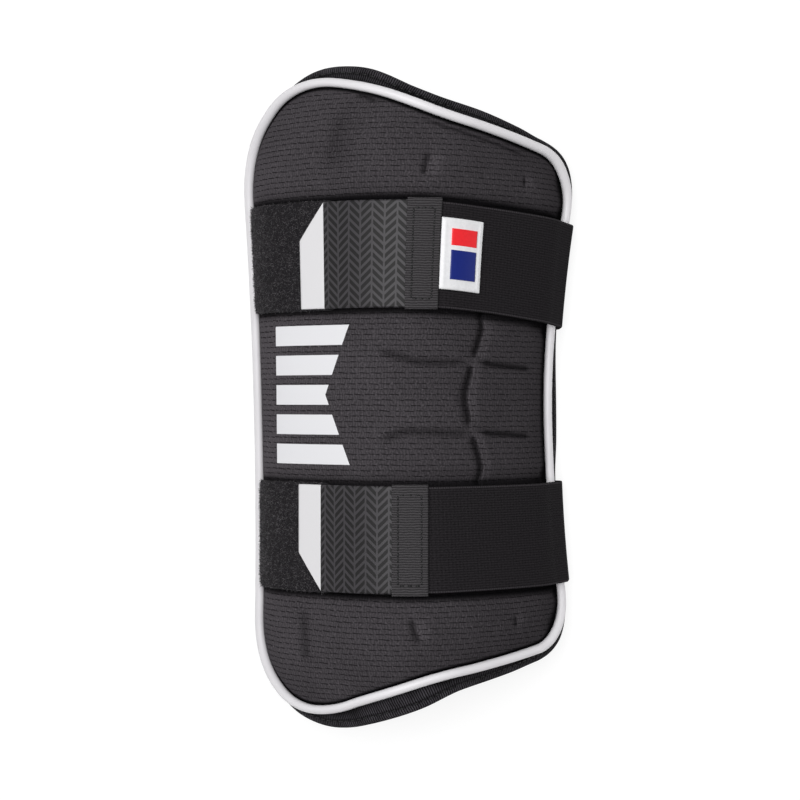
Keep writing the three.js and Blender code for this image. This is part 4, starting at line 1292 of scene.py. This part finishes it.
def build_stage():
    """Pale floor, soft studio light and a camera straight above the pad, as a catalogue view."""
    scene = bpy.context.scene
    scene.view_settings.view_transform = "Standard"
    corners = np.array([(-1, -1, 0), (1, -1, 0), (1, 1, 0), (-1, 1, 0)]) * FLOOR["half"]
    floor = add_piece("studio_floor", corners - np.array([0, 0, FLOOR["below"]]), np.array([[0, 1, 2, 3]]))
    material, tree, shader = new_material("white_paper_floor", 0.9, 0.1)
    feed(tree, shader, {"Base Color": rgb(piece_colours().floor), "Emission Color": WHITE,
                        "Emission Strength": FLOOR["glow"]})
    floor.data.materials.append(material)
    floor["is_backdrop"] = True
    world = bpy.data.worlds.new("studio")
    world.use_nodes = True
    feed(world.node_tree, world.node_tree.nodes["Background"], {"Color": WHITE, "Strength": WORLD_STRENGTH})
    scene.world = world
    low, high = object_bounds()
    for name, spot, width, height, power in LAMPS:
        data = bpy.data.lights.new(f"studio_{name}", "AREA")
        data.shape = "RECTANGLE"
        data.size = width
        data.size_y = height
        data.energy = power
        lamp = bpy.data.objects.new(f"studio_{name}", data)
        lamp.location = spot
        aim = (low + high) / 2 - lamp.location
        lamp.rotation_euler = aim.to_track_quat("-Z", "Y").to_euler()
        bpy.context.collection.objects.link(lamp)
    data = bpy.data.cameras.new("catalogue_camera")
    data.sensor_width = CAMERA["sensor"]
    data.lens = CAMERA["sensor"] * CAMERA["focal"] / CAMERA["frame"]
    camera = bpy.data.objects.new("catalogue_camera", data)
    camera.location = (np.array([CAMERA["x"], CAMERA["y"], CAMERA["height"]]) - CENTRE) * MM
    bpy.context.collection.objects.link(camera)
    scene.camera = camera


class LEGGUARD_OT_stage(bpy.types.Operator):
    """Add the floor, the lights and the camera"""

    bl_idname = "leg_guard.stage"
    bl_label = "Stage"

    def execute(self, context):
        build_stage()
        return {"FINISHED"}


class LEGGUARD_OT_back_panel(bpy.types.Operator):
    """Add the inner panel and its bound edge"""

    bl_idname = "leg_guard.back_panel"
    bl_label = "Back panel and edge tape"

    def execute(self, context):
        build_back_panel()
        build_binding()
        return {"FINISHED"}


class LEGGUARD_OT_front_pad(bpy.types.Operator):
    """Add the front pad and its piping"""

    bl_idname = "leg_guard.front_pad"
    bl_label = "Front pad and piping"

    def execute(self, context):
        build_front_pad()
        build_piping()
        return {"FINISHED"}


class LEGGUARD_OT_loop_panels(bpy.types.Operator):
    """Add the fuzzy loop panels"""

    bl_idname = "leg_guard.loop_panels"
    bl_label = "Loop panels"

    def execute(self, context):
        material = brushed_pile()
        for seed, strap in enumerate(STRAPS):
            build_loop_panel(strap, material, LOOP["seed"] + seed)
        return {"FINISHED"}


class LEGGUARD_OT_straps(bpy.types.Operator):
    """Add the elastic straps with their pull tabs and webbing"""

    bl_idname = "leg_guard.straps"
    bl_label = "Straps"

    def execute(self, context):
        c, z = piece_colours(), piece_sizes()
        elastic = knitted_elastic()
        webbing = ribbed_cloth("ribbed_webbing", c.webbing, z.web_rib, False, 0.3 * MM, 0.75, 0.8)
        for strap in STRAPS:
            build_hook_tab(strap)
            build_elastic(strap, elastic)
            build_web_tab(strap, webbing)
        return {"FINISHED"}


class LEGGUARD_OT_label(bpy.types.Operator):
    """Add the rubber label"""

    bl_idname = "leg_guard.label"
    bl_label = "Label"

    def execute(self, context):
        build_label()
        return {"FINISHED"}


STEPS = ("stage", "back_panel", "front_pad", "loop_panels", "straps", "label")


class LEGGUARD_PT_panel(bpy.types.Panel):
    """Sidebar list of the building steps and their values"""

    bl_idname = "LEGGUARD_PT_panel"
    bl_label = "Leg guard"
    bl_space_type = "VIEW_3D"
    bl_region_type = "UI"
    bl_category = "Leg guard"

    def draw(self, context):
        for step in STEPS:
            self.layout.operator(f"leg_guard.{step}")
        for group in (context.scene.leg_guard_sizes, context.scene.leg_guard_colours):
            for key in group.__annotations__:
                self.layout.prop(group, key)


CLASSES = (
    LegGuardSizes,
    LegGuardColours,
    LEGGUARD_OT_stage,
    LEGGUARD_OT_back_panel,
    LEGGUARD_OT_front_pad,
    LEGGUARD_OT_loop_panels,
    LEGGUARD_OT_straps,
    LEGGUARD_OT_label,
    LEGGUARD_PT_panel,
)


def register():
    for made in CLASSES:
        bpy.utils.register_class(made)
    bpy.types.Scene.leg_guard_sizes = bpy.props.PointerProperty(type=LegGuardSizes)
    bpy.types.Scene.leg_guard_colours = bpy.props.PointerProperty(type=LegGuardColours)


def unregister():
    del bpy.types.Scene.leg_guard_colours
    del bpy.types.Scene.leg_guard_sizes
    for made in reversed(CLASSES):
        bpy.utils.unregister_class(made)


def main():
    register()
    for step in STEPS:
        getattr(bpy.ops.leg_guard, step)()


if __name__ == "__main__":
    main()
